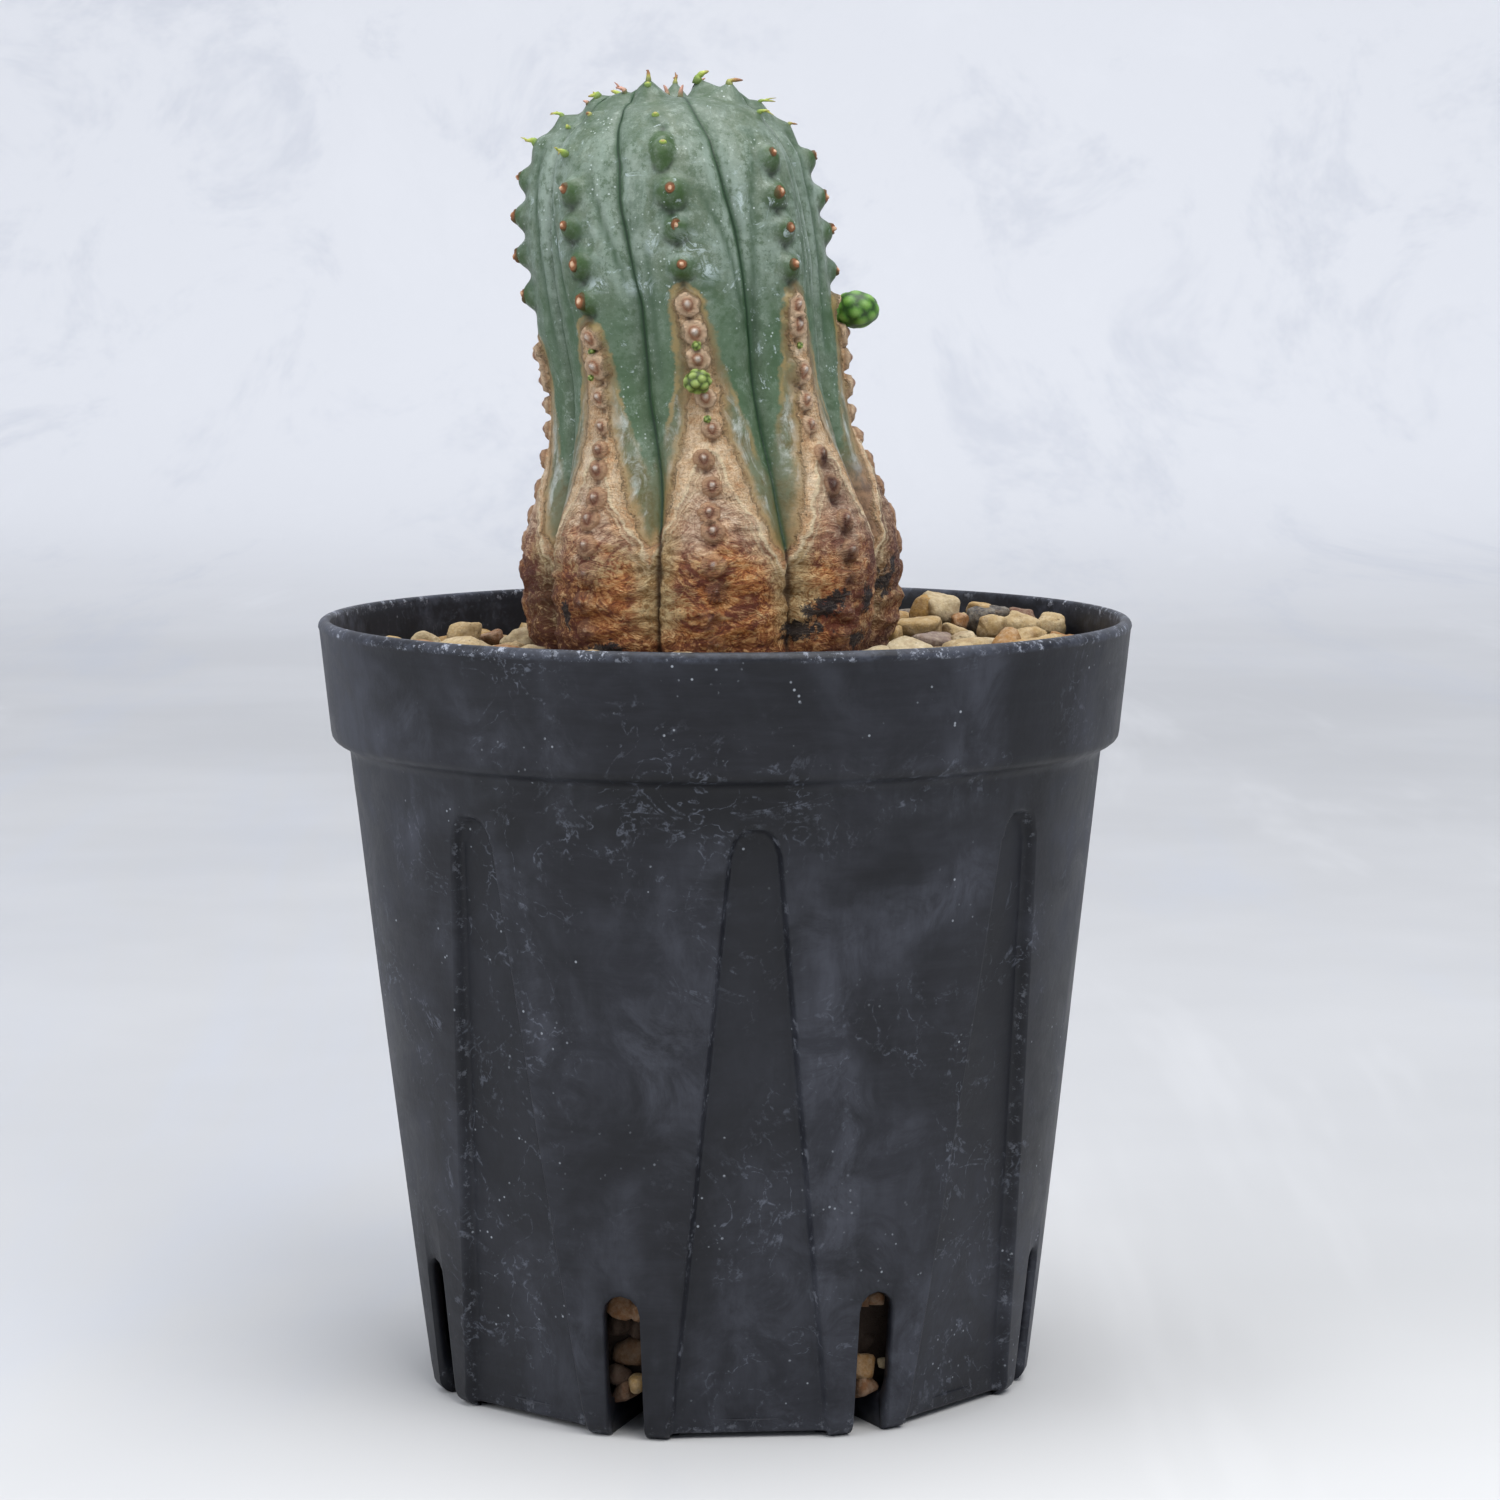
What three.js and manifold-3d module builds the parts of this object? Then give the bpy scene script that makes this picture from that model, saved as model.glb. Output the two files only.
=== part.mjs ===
// A baseball plant (Euphorbia obesa), an old columnar specimen, in its moulded plastic slit pot.
//
// Millimetres, +Z up. The origin is on the pot's axis, in the plane of the toes that the pot stands on.
// Azimuths are in degrees round +Z: 0 faces -Y, the side seen first, and 90 faces +X.

import * as THREE from 'three';
import { mergeVertices } from 'three/addons/utils/BufferGeometryUtils.js';
import Module from 'manifold-3d';

const wasm = await Module();
wasm.setup();

// ---------------------------------------------------------------------------------------------
// Driving dimensions
// ---------------------------------------------------------------------------------------------

const GAP = 0.3; // clearance between pieces that touch

const POT = {
  height: 70.7,
  rimRadius: 37.5,
  lipRound: 0.7,
  bandFootZ: 60.2,
  bandFootRadius: 36.4,
  bandCornerRound: 0.8,
  wallTopZ: 58.9,
  wallTopRadius: 34.75,
  wallFootRadius: 28.4,
  wallThickness: 1.1,
  toeRound: 1.5,
  toeRise: 0.5, // the panels end this far above the toes
  floorUnderZ: 1.8,
  floorTopZ: 3.2,
  domeRise: 3, // the floor's middle is raised
  domeTopRadius: 8,
  domeFootRadius: 17,
  sides: 48,
};

const PANEL = {
  count: 8,
  firstAzimuth: 4.6,
  archTopZ: 55,
  archHalfWidth: 1.8,
  footHalfWidth: 6.9,
  footDistance: 26.6, // from the axis to the panel's flat face at z = 0
  slope: 0.122, // how far that face leans outwards per millimetre of height
};

const SLIT = {
  width: 3.5,
  topZ: 13.2,
  innerRadius: 19,
  footWidth: 2.2, // each leg's bearing bar beside the slit
};

const BED = {
  surfaceZ: 66,
  rings: [31, 25],
  grainsIn: 16.6, // the grains lie between these radii
  grainsOut: 35.4,
  roughness: 0.8,
  holeSides: 24,
  beadRoom: 1,
  stoneCount: 72,
  stoneRadiusMin: 1.9,
  stoneRadiusMax: 3.3,
  slitStoneRadius: 1.8,
  slitStoneHeights: [5.5, 9.5],
  seed: 41,
};

// One grain, in shares of its radius: how far its corners are knocked in and out, how much longer and
// flatter than round it is, how high its middle stands over the bed and how close its neighbours come
const GRAIN = {
  knock: 0.14,
  stretch: 0.2,
  flatness: 0.25,
  tilt: 0.6,
  stand: 0.25,
  closeness: 0.8,
};

// Where the grains are heaped: centre, height over the bed's surface and spread
const HEAPS = [
  { x: 24, y: 16, height: 2.2, spread: 10 },
  { x: -24, y: 20, height: 0.5, spread: 9 },
];

const STEM = {
  y: 2,
  soilZ: 67,
  crownZ: 118.1,
  rootTipZ: 48,
  columnsPerRib: 4,
  rootRows: 3,
  skinRows: 16,
};

// The azimuths of the ribs' crests, not quite evenly spread, and how far they drift with the height
const RIBS = [1, 48, 92, 136, 181, 226, 271, 318.5];
const RIB_DRIFT = [[75, 0], [90, 1], [99, 1.8], [106, 0], [113, -3]];

// The stem's axis leans a little to the left as it rises: height and x
const STEM_AXIS = [
  [STEM.rootTipZ, -1.3],
  [78, -1.3],
  [84, -1.7],
  [90.5, -2.7],
  [99.7, -4],
  [108.8, -4.7],
  [STEM.crownZ + 2, -5],
];

// The stem's outline along a rib's crest, from the root's tip to the crown: radius and height.
const STEM_OUTLINE = [
  [0, STEM.rootTipZ],
  [3.4, 50],
  [8, 56],
  [12.6, 61.5],
  [15.6, 66],
  [17, 70],
  [17.5, 74],
  [17.2, 78],
  [15.6, 82.5],
  [14.1, 87],
  [13.3, 92],
  [13.4, 97],
  [13.5, 102],
  [13.2, 106],
  [12.6, 110],
  [11.5, 113.3],
  [9.4, 115.9],
  [6.8, 117.5],
  [4, 118],
  [1.8, 117.7],
  [0, 117.4],
];
const ROOT_SPANS = 4; // of the outline's spans, those that make the root

// How deep the grooves between the ribs are, over the height: height, depth of the broad hollow and
// depth of the narrow crease in its bottom
const GROOVES = [
  [60, 0, 0],
  [66, 0.8, 0.3],
  [72, 1.6, 0.7],
  [80, 1.5, 0.7],
  [90, 0.9, 0.5],
  [110, 0.7, 0.5],
  [116, 0.6, 0.4],
  [STEM.crownZ, 0.1, 0.1],
];
const CREASE_WIDTH = 0.13; // as a share of half a rib

// The rows of tubercles run down each rib from near the apex: noses with a dried flower stalk on the crown,
// noses without one on the green skin, and round beads on the cork
const TUBERCLES = {
  apexRadius: 2.6, // how far from the apex each row begins
  crownFootZ: 112.5,
  greenFootZ: 97,
  beadFootZ: 69.5,
  rootFadeZ: 62, // the hole in the bed begins to widen here to let the beads pass
  crown: { spacing: 3.1, radius: 1.1, height: 0.8, nose: 0.4 },
  green: { spacing: 3.4, radius: 1.45, height: 1.25, nose: 0.3 },
  bead: { spacing: 3.2, radius: 1.25, height: 0.7, nose: 0.5 },
  sunk: 0.6,
  jitter: 0.3,
  sides: 5,
  seed: 7,
};

const STALK = {
  length: 2.1,
  rootRadius: 0.5,
  hook: 0.16, // sideways bend per millimetre squared
  lean: 0.11, // how much it leans outwards, per millimetre from the stem's axis
  sides: 3,
};

const OFFSETS = [
  { name: 'offset_right', rib: 2, z: 98.5, radius: 1.7, stalk: 0.9, knobs: 8, colour: 0x4f8f37 },
  { name: 'offset_front', rib: 0, z: 92.6, radius: 0.85, stalk: 0.2, knobs: 5, colour: 0x86a94e },
];
const OFFSET_NECK = 0.5; // the neck's radius, as a share of the offset's
const OFFSET_KNOB = 0.3; // the same for its knobs
const OFFSET_ROOM = 2.2; // no tubercle grows nearer to an offset than this

// ---------------------------------------------------------------------------------------------
// Helpers
// ---------------------------------------------------------------------------------------------

const rad = THREE.MathUtils.degToRad;
const UP = new THREE.Vector3(0, 0, 1);

function seeded(seed) {
  let state = seed;
  return () => {
    state = (state * 1664525 + 1013904223) % 4294967296;
    return state / 4294967296;
  };
}

// Straight-line interpolation in rows of [key, value, value, ...]
function lookUp(rows, key, column = 1) {
  if (key <= rows[0][0]) return rows[0][column];
  const next = rows.findIndex((row) => row[0] >= key);
  if (next < 0) return rows[rows.length - 1][column];
  const [low, high] = [rows[next - 1], rows[next]];
  return THREE.MathUtils.mapLinear(key, low[0], high[0], low[column], high[column]);
}

// A closed geometry as a solid that can be joined and cut
function solidOf(geometry) {
  const bare = geometry.clone();
  bare.deleteAttribute('normal');
  bare.deleteAttribute('uv');
  const merged = mergeVertices(bare, 1e-4);
  const index = merged.index.array;
  const triangles = [];
  for (let i = 0; i < index.length; i += 3) {
    const [a, b, c] = [index[i], index[i + 1], index[i + 2]];
    if (a !== b && b !== c && c !== a) triangles.push(a, b, c);
  }
  return new wasm.Manifold(new wasm.Mesh({
    numProp: 3,
    vertProperties: Float32Array.from(merged.attributes.position.array),
    triVerts: Uint32Array.from(triangles),
  }));
}

function geometryOf(solid) {
  const mesh = solid.getMesh();
  const geometry = new THREE.BufferGeometry();
  geometry.setAttribute('position', new THREE.BufferAttribute(mesh.vertProperties, mesh.numProp));
  geometry.setIndex(new THREE.BufferAttribute(mesh.triVerts, 1));
  geometry.computeVertexNormals();
  return geometry;
}

const join = (solids) => solids.reduce((sum, solid) => sum.add(solid));

// A body turned round +Z from rows of [radius, height], listed from the bottom to the top
function turned(profile, sides) {
  const points = profile.map(([r, z]) => new THREE.Vector2(r, z));
  const geometry = new THREE.LatheGeometry(points, sides);
  geometry.rotateX(Math.PI / 2);
  return geometry;
}

// A quarter round of the outline, from one angle to another about a centre
function arcPoints(centreR, centreZ, radius, fromDegrees, toDegrees, steps) {
  return Array.from({ length: steps + 1 }, (_, i) => {
    const angle = rad(THREE.MathUtils.lerp(fromDegrees, toDegrees, i / steps));
    return [centreR + radius * Math.cos(angle), centreZ + radius * Math.sin(angle)];
  });
}

// Moves every vertex of a geometry by a function of its position
function displace(geometry, move) {
  const position = geometry.attributes.position;
  const point = new THREE.Vector3();
  for (let i = 0; i < position.count; i += 1) {
    point.fromBufferAttribute(position, i);
    move(point);
    position.setXYZ(i, point.x, point.y, point.z);
  }
  return geometry;
}

// Stands a geometry made along +Z on a point, along a direction
function standOn(geometry, point, direction) {
  geometry.applyQuaternion(new THREE.Quaternion().setFromUnitVectors(UP, direction));
  return geometry.translate(point.x, point.y, point.z);
}

function namedMesh(name, geometry, colour, roughness) {
  const material = new THREE.MeshStandardMaterial({ color: colour, roughness, metalness: 0 });
  const mesh = new THREE.Mesh(geometry, material);
  mesh.name = name;
  return mesh;
}

// ---------------------------------------------------------------------------------------------
// The pot
// ---------------------------------------------------------------------------------------------

const wallSlope = (POT.wallTopRadius - POT.wallFootRadius) / POT.wallTopZ;
const bandSlope = (POT.rimRadius - POT.bandFootRadius) / (POT.height - POT.bandFootZ);
const wallRadiusAt = (z) => POT.wallFootRadius + wallSlope * z;

// The outside, as one turned body: toe, wall, rim band and rounded lip
function potOutside() {
  const toe = arcPoints(wallRadiusAt(0) - POT.toeRound, POT.toeRound, POT.toeRound, -90, 0, 2);
  const lip = arcPoints(POT.rimRadius - POT.lipRound, POT.height - POT.lipRound, POT.lipRound, 0, 90, 2);
  return solidOf(turned([
    [0, 0],
    ...toe,
    [POT.wallTopRadius, POT.wallTopZ],
    [POT.bandFootRadius - POT.bandCornerRound, POT.bandFootZ - POT.bandCornerRound],
    [POT.bandFootRadius, POT.bandFootZ],
    ...lip,
    [0, POT.height],
  ], POT.sides));
}

// The raised middle of the floor, from the axis outwards, over a height
function floorProfile(z) {
  return [[0, z + POT.domeRise], [POT.domeTopRadius, z + POT.domeRise], [POT.domeFootRadius, z]];
}

// The inside of the wall above the floor, drawn in by a clearance: the hollow steps out behind the rim band
function hollowProfile(clearance) {
  const inset = POT.wallThickness + clearance;
  const floorZ = POT.floorTopZ + clearance;
  const beyond = 5;
  return [
    ...floorProfile(floorZ),
    [wallRadiusAt(floorZ) - inset, floorZ],
    [POT.wallTopRadius - inset, POT.wallTopZ],
    [POT.bandFootRadius - inset, POT.bandFootZ + POT.wallThickness],
    [POT.rimRadius + bandSlope * beyond - inset, POT.height + beyond],
    [0, POT.height + beyond],
  ];
}

// The hollow under the floor, between the bearing bars, and the small rise of the panels over the toes
function undersideProfile() {
  const inset = POT.wallThickness;
  return [
    [0, -1],
    [POT.rimRadius, -1],
    [POT.rimRadius, POT.toeRise],
    [wallRadiusAt(POT.toeRise) - inset, POT.toeRise],
    [wallRadiusAt(POT.floorUnderZ) - inset, POT.floorUnderZ],
    ...floorProfile(POT.floorUnderZ).reverse(),
  ];
}

// One recessed panel as a cutter: a tapering shape with a round top, whose inner face is flat and leans
// with the wall. A positive inset makes it larger all round, for the wall's own thickness behind it.
function panelCutter(azimuth, inset) {
  const depth = 12;
  const below = 8;
  const half = PANEL.archHalfWidth + inset;
  const taper = (PANEL.footHalfWidth - PANEL.archHalfWidth) / PANEL.archTopZ;
  const centreZ = PANEL.archTopZ - PANEL.archHalfWidth;
  const outline = new THREE.Shape();
  outline.moveTo(half, centreZ);
  outline.absarc(0, centreZ, half, 0, Math.PI, false);
  outline.lineTo(-half - taper * (centreZ + below), -below);
  outline.lineTo(half + taper * (centreZ + below), -below);
  outline.closePath();
  const geometry = new THREE.ExtrudeGeometry(outline, { depth, bevelEnabled: false, curveSegments: 3 });
  geometry.rotateX(Math.PI / 2); // the outline stands in XZ and is drawn out towards -Y
  displace(geometry, (p) => {
    p.y -= PANEL.footDistance + PANEL.slope * p.z - inset;
  });
  geometry.rotateZ(rad(azimuth));
  return solidOf(geometry);
}

const panelStep = 360 / PANEL.count;
const panelAzimuths = Array.from({ length: PANEL.count }, (_, i) => PANEL.firstAzimuth + i * panelStep);
const slitAzimuths = panelAzimuths.map((azimuth) => azimuth + panelStep / 2);

// The inside of the pot's wall bulges in behind each panel
function panelBulges(clearance) {
  return join(panelAzimuths.map((azimuth) => panelCutter(azimuth, POT.wallThickness + clearance)));
}

function hollow(clearance) {
  return solidOf(turned(hollowProfile(clearance), POT.sides)).subtract(panelBulges(clearance));
}

// One drainage slit as a cutter, from inside the floor's edge out through the pillar
function slitCutter(azimuth) {
  const half = SLIT.width / 2;
  const outline = new THREE.Shape();
  outline.moveTo(half, -2);
  outline.lineTo(half, SLIT.topZ - half);
  outline.absarc(0, SLIT.topZ - half, half, 0, Math.PI, false);
  outline.lineTo(-half, -2);
  outline.closePath();
  const geometry = new THREE.ExtrudeGeometry(outline, { depth: 16, bevelEnabled: false, curveSegments: 3 });
  geometry.rotateX(Math.PI / 2);
  geometry.translate(0, -SLIT.innerRadius, 0);
  geometry.rotateZ(rad(azimuth));
  return solidOf(geometry);
}

// The two bearing bars beside one slit, under the floor, from the slit's inner end out to the toes
function bearingBars(azimuth) {
  const [length, height] = [20, 6];
  return join([-1, 1].map((side) => {
    const bar = new THREE.BoxGeometry(SLIT.footWidth, length, height);
    bar.translate(side * (SLIT.width + SLIT.footWidth) / 2, -SLIT.innerRadius - length / 2, 0);
    bar.rotateZ(rad(azimuth));
    return solidOf(bar);
  }));
}

function pot() {
  const panels = join(panelAzimuths.map((azimuth) => panelCutter(azimuth, 0)));
  const slits = join(slitAzimuths.map(slitCutter));
  const behindPanels = panelBulges(0).intersect(solidOf(turned([
    [0, POT.toeRise],
    [POT.rimRadius, POT.toeRise],
    [POT.rimRadius, POT.height],
    [0, POT.height],
  ], 8)));
  const underside = solidOf(turned(undersideProfile(), POT.sides)).subtract(behindPanels);
  const underFeet = join(slitAzimuths.map(bearingBars));
  return potOutside().subtract(join([panels, hollow(0), slits, underside.subtract(underFeet)]));
}

// ---------------------------------------------------------------------------------------------
// The stem
// ---------------------------------------------------------------------------------------------

const outlineCurve = new THREE.CatmullRomCurve3(
  STEM_OUTLINE.map(([r, z]) => new THREE.Vector3(r, 0, z)),
  false,
  'centripetal',
);
const rootShare = ROOT_SPANS / (STEM_OUTLINE.length - 1);

const stemAxis = (z) => new THREE.Vector3(lookUp(STEM_AXIS, z), STEM.y, z);

// A place round the stem is counted in ribs: whole numbers are crests and halves are grooves
function azimuthAt(ribPlace, z) {
  const place = THREE.MathUtils.euclideanModulo(ribPlace, RIBS.length);
  const rib = Math.floor(place);
  const next = rib + 1 < RIBS.length ? RIBS[rib + 1] : RIBS[0] + 360;
  return THREE.MathUtils.lerp(RIBS[rib], next, place - rib) + lookUp(RIB_DRIFT, z);
}

// How far the surface lies below the rib's crest
function grooveDepth(ribPlace, z) {
  const across = 2 * Math.abs(ribPlace - Math.round(ribPlace));
  const edge = (1 - across) / CREASE_WIDTH;
  return lookUp(GROOVES, z, 1) * across * across + lookUp(GROOVES, z, 2) * Math.exp(-edge * edge);
}

// A point of the skin: share is the place along the outline, from the root's tip (0) to the crown (1)
function skinPoint(share, ribPlace) {
  const { x: crest, z } = outlineCurve.getPoint(share);
  const fade = Math.min(1, crest / 4);
  const radius = crest - fade * grooveDepth(ribPlace, z);
  const angle = rad(azimuthAt(ribPlace, z));
  return stemAxis(z).add(new THREE.Vector3(radius * Math.sin(angle), -radius * Math.cos(angle), 0));
}

// The outward direction of the skin near a rib's crest
function skinNormal(share, ribPlace) {
  const step = 0.004;
  const along = skinPoint(Math.min(1, share + step), ribPlace).sub(skinPoint(share - step, ribPlace));
  const angle = rad(azimuthAt(ribPlace, outlineCurve.getPoint(share).z));
  return new THREE.Vector3(Math.cos(angle), Math.sin(angle), 0).cross(along).normalize();
}

// The place along the outline, below the crown, where a test first holds on the way down from a place
function walkDown(from, reached) {
  const step = 0.0005;
  const start = outlineCurve.getPoint(from);
  let share = from;
  while (share > step && !reached(outlineCurve.getPoint(share), start)) share -= step;
  return share;
}

const shareAtHeight = (height) => walkDown(0.9, (point) => point.z <= height);

function stemBody() {
  const rows = STEM.rootRows + STEM.skinRows;
  const shareOfRow = (row) => (row < STEM.rootRows
    ? (rootShare * row) / STEM.rootRows
    : THREE.MathUtils.lerp(rootShare, 1, (row - STEM.rootRows) / STEM.skinRows));
  const columns = RIBS.length * STEM.columnsPerRib;
  const isTip = (row) => row === 0 || row === rows;
  const grid = turned(Array.from({ length: rows + 1 }, (_, row) => [isTip(row) ? 0 : 1, row]), columns);
  displace(grid, (p) => {
    const row = Math.round(p.z);
    const column = Math.round((Math.atan2(p.x, -p.y) / (2 * Math.PI)) * columns);
    p.copy(skinPoint(shareOfRow(row), isTip(row) ? 0 : column / STEM.columnsPerRib));
  });
  return solidOf(grid);
}

// A low cone with its root sunk in the skin; the nose is the share of its radius that it keeps at its top
function knob({ radius, height, nose }, size) {
  return turned([
    [0, -TUBERCLES.sunk],
    [radius * size * 1.15, -TUBERCLES.sunk],
    [radius * size * nose, height * size],
    [0, height * size * 1.1],
  ], TUBERCLES.sides);
}

// A dried flower stalk: a slim thorn that hooks over to one side
function driedStalk(size, side) {
  const length = STALK.length * size;
  const thorn = turned([
    [0, 0],
    [STALK.rootRadius, 0],
    [STALK.rootRadius * 0.5, length * 0.6],
    [0, length],
  ], STALK.sides);
  return displace(thorn, (p) => {
    p.x += side * STALK.hook * p.z * p.z;
  });
}

// The row of tubercles on one rib
function ribTubercles(rib, random) {
  const vary = () => 1 + (random() - 0.5) * TUBERCLES.jitter;
  const solids = [];
  const first = TUBERCLES.apexRadius * (1 + 0.6 * random());
  let share = walkDown(1, (point) => point.x >= first);
  for (;;) {
    const { z } = outlineCurve.getPoint(share);
    if (z < TUBERCLES.beadFootZ && share < 0.5) break;
    const isCrown = z > TUBERCLES.crownFootZ;
    const lower = z > TUBERCLES.greenFootZ ? TUBERCLES.green : TUBERCLES.bead;
    const kind = isCrown ? TUBERCLES.crown : lower;
    const place = rib + (vary() - 1) * 0.2;
    const [size, turn, side] = [vary(), random() * Math.PI, random() < 0.5 ? -1 : 1];
    const [point, normal] = [skinPoint(share, place), skinNormal(share, place)];
    const taken = OFFSETS.some((shoot) => shoot.rib === rib && Math.abs(shoot.z - z) < OFFSET_ROOM);
    if (!taken) solids.push(solidOf(standOn(knob(kind, size).rotateZ(turn), point, normal)));
    if (isCrown) {
      const outward = point.clone().sub(stemAxis(point.z)).multiplyScalar(STALK.lean);
      const thorn = driedStalk(vary() * vary(), side).rotateZ(turn);
      solids.push(solidOf(standOn(thorn, point, outward.add(UP).normalize())));
    }
    const spacing = kind.spacing * vary();
    share = walkDown(share, (next, start) => next.distanceTo(start) >= spacing);
  }
  return join(solids);
}

function stem() {
  const random = seeded(TUBERCLES.seed);
  return join([stemBody(), ...RIBS.map((_, rib) => ribTubercles(rib, random))]);
}

// One offset: a ball with knobs, and a short neck that ends a gap away from the stem's skin
function offset({ rib, z, radius, stalk, knobs }) {
  const share = shareAtHeight(z);
  const outward = skinNormal(share, rib);
  const seat = skinPoint(share, rib).addScaledVector(outward, GAP);
  const centre = seat.clone().addScaledVector(outward, stalk + radius);
  const ball = new THREE.IcosahedronGeometry(radius, 1).translate(centre.x, centre.y, centre.z);
  const neckRadius = radius * OFFSET_NECK;
  const neck = turned([
    [0, 0],
    [neckRadius * 1.3, 0],
    [neckRadius, stalk],
    [neckRadius, stalk + radius],
    [0, stalk + radius],
  ], 8);
  const bumps = Array.from({ length: knobs }, (_, i) => {
    const height = 1 - (2 * (i + 0.5)) / knobs; // a spiral of even steps over the ball
    const turn = i * Math.PI * (3 - Math.sqrt(5));
    const flat = Math.sqrt(1 - height * height);
    const direction = new THREE.Vector3(flat * Math.cos(turn), flat * Math.sin(turn), height);
    const bump = turned([
      [0, 0],
      [radius * OFFSET_KNOB, 0],
      [radius * OFFSET_KNOB * 0.7, radius],
      [0, radius * 1.18],
    ], 4);
    return solidOf(standOn(bump, centre, direction));
  });
  return join([solidOf(ball), solidOf(standOn(neck, seat, outward)), ...bumps]);
}

// ---------------------------------------------------------------------------------------------
// The bed of grains
// ---------------------------------------------------------------------------------------------

function bedHeight(x, y) {
  return HEAPS.reduce((sum, heap) => {
    const distance = Math.hypot(x - heap.x, y - heap.y) / heap.spread;
    return sum + heap.height * Math.exp(-distance * distance);
  }, BED.surfaceZ);
}

// One grain: an icosahedron knocked out of shape
function grain(radius, random) {
  const faceted = new THREE.IcosahedronGeometry(radius, 0);
  const geometry = mergeVertices(faceted.deleteAttribute('normal').deleteAttribute('uv'));
  displace(geometry, (p) => p.multiplyScalar(1 + GRAIN.knock * (2 * random() - 1)));
  geometry.scale(1 + GRAIN.stretch * random(), 1, 1 - GRAIN.flatness * random());
  geometry.rotateX(GRAIN.tilt * (2 * random() - 1));
  geometry.rotateZ(random() * 2 * Math.PI);
  return geometry;
}

// The plain hole that the stem's foot and root stand in: round, wide enough for the ribs and their beads
function stemHole() {
  const rim = shareAtHeight(STEM.soilZ + 12);
  const steps = 8;
  const outer = 1 / Math.cos(Math.PI / BED.holeSides);
  const profile = Array.from({ length: steps + 1 }, (_, i) => {
    const { x: crest, z } = outlineCurve.getPoint((rim * i) / steps);
    const beads = THREE.MathUtils.smoothstep(z, TUBERCLES.rootFadeZ, TUBERCLES.beadFootZ) * BED.beadRoom;
    return [i === 0 ? 0 : (crest + GAP + beads) * outer, i === 0 ? z - 2 * GAP : z];
  });
  profile.push([0, profile[steps][1]]);
  return solidOf(turned(profile, BED.holeSides).translate(lookUp(STEM_AXIS, STEM.rootTipZ), STEM.y, 0));
}

function bedFill() {
  const inset = POT.wallThickness + GAP;
  const edge = POT.rimRadius - bandSlope * (POT.height - BED.surfaceZ) - inset;
  const profile = [
    ...floorProfile(POT.floorTopZ + GAP),
    [wallRadiusAt(POT.floorTopZ) - inset, POT.floorTopZ + GAP],
    [POT.wallTopRadius - inset, POT.wallTopZ],
    [POT.bandFootRadius - inset, POT.bandFootZ + POT.wallThickness],
    [edge, BED.surfaceZ],
    ...BED.rings.map((r) => [r, BED.surfaceZ]),
    [0, BED.surfaceZ],
  ];
  const geometry = turned(profile, POT.sides);
  displace(geometry, (p) => {
    const inside = Math.hypot(p.x, p.y) < edge - 0.5;
    const rough = BED.roughness * Math.sin(2.1 * p.x + 1.3 * p.y) * Math.cos(1.7 * p.y - 0.9 * p.x);
    if (inside && p.z === BED.surfaceZ) p.z = bedHeight(p.x, p.y) + rough;
  });
  return solidOf(geometry).subtract(panelBulges(GAP));
}

// The grains that lie on the bed, scattered between the stem and the wall without crowding
function surfaceGrains(random) {
  const placed = [];
  const stemX = lookUp(STEM_AXIS, STEM.soilZ);
  for (let tries = 0; placed.length < BED.stoneCount && tries < 20000; tries += 1) {
    const size = THREE.MathUtils.lerp(BED.stoneRadiusMin, BED.stoneRadiusMax, random() ** 1.5);
    const distance = Math.sqrt(random()) * POT.rimRadius;
    const turn = random() * 2 * Math.PI;
    const [x, y] = [distance * Math.cos(turn), distance * Math.sin(turn)];
    const nearWall = distance + size * (1 + GRAIN.stretch) > BED.grainsOut;
    const nearStem = Math.hypot(x - stemX, y - STEM.y) < BED.grainsIn + size * 0.7;
    const room = (other) => Math.hypot(x - other.x, y - other.y) - GRAIN.closeness * (size + other.size);
    const crowded = placed.some((other) => room(other) < 0);
    if (!nearWall && !nearStem && !crowded) placed.push({ x, y, size });
  }
  return placed.map(({ x, y, size }) => {
    const stone = grain(size, random);
    return solidOf(stone.translate(x, y, bedHeight(x, y) + size * GRAIN.stand));
  });
}

// Grains that show in each slit
function slitGrains(random) {
  const grains = slitAzimuths.flatMap((azimuth) => BED.slitStoneHeights.map((z) => {
    const size = BED.slitStoneRadius * (0.85 + 0.3 * random());
    const out = wallRadiusAt(z) - POT.wallThickness - GAP - size * 0.75;
    const stone = grain(size, random).translate(0, -out, z);
    return solidOf(stone.rotateZ(rad(azimuth)));
  }));
  return join(grains).intersect(hollow(GAP));
}

function gravelBed() {
  const random = seeded(BED.seed);
  return join([bedFill(), ...surfaceGrains(random), slitGrains(random)]).subtract(stemHole());
}

// ---------------------------------------------------------------------------------------------
// The whole object
// ---------------------------------------------------------------------------------------------

const plantInPot = new THREE.Group();
plantInPot.add(namedMesh('pot', geometryOf(pot()), 0x2c2f36, 0.55));
plantInPot.add(namedMesh('gravel_bed', geometryOf(gravelBed()), 0xb99a68, 0.95));
plantInPot.add(namedMesh('stem', geometryOf(stem()), 0x6f8a72, 0.7));
OFFSETS.forEach((shoot) => {
  plantInPot.add(namedMesh(shoot.name, geometryOf(offset(shoot)), shoot.colour, 0.6));
});

export default plantInPot;
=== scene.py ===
"""Looks of the potted baseball plant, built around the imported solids.

Lengths in the mesh code are millimetres, in the CAD's frame, and are scaled to metres once, in piece().
Azimuths are in degrees round +Z: 0 faces -Y, the side seen first, and 90 faces +X.
"""

import math

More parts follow.
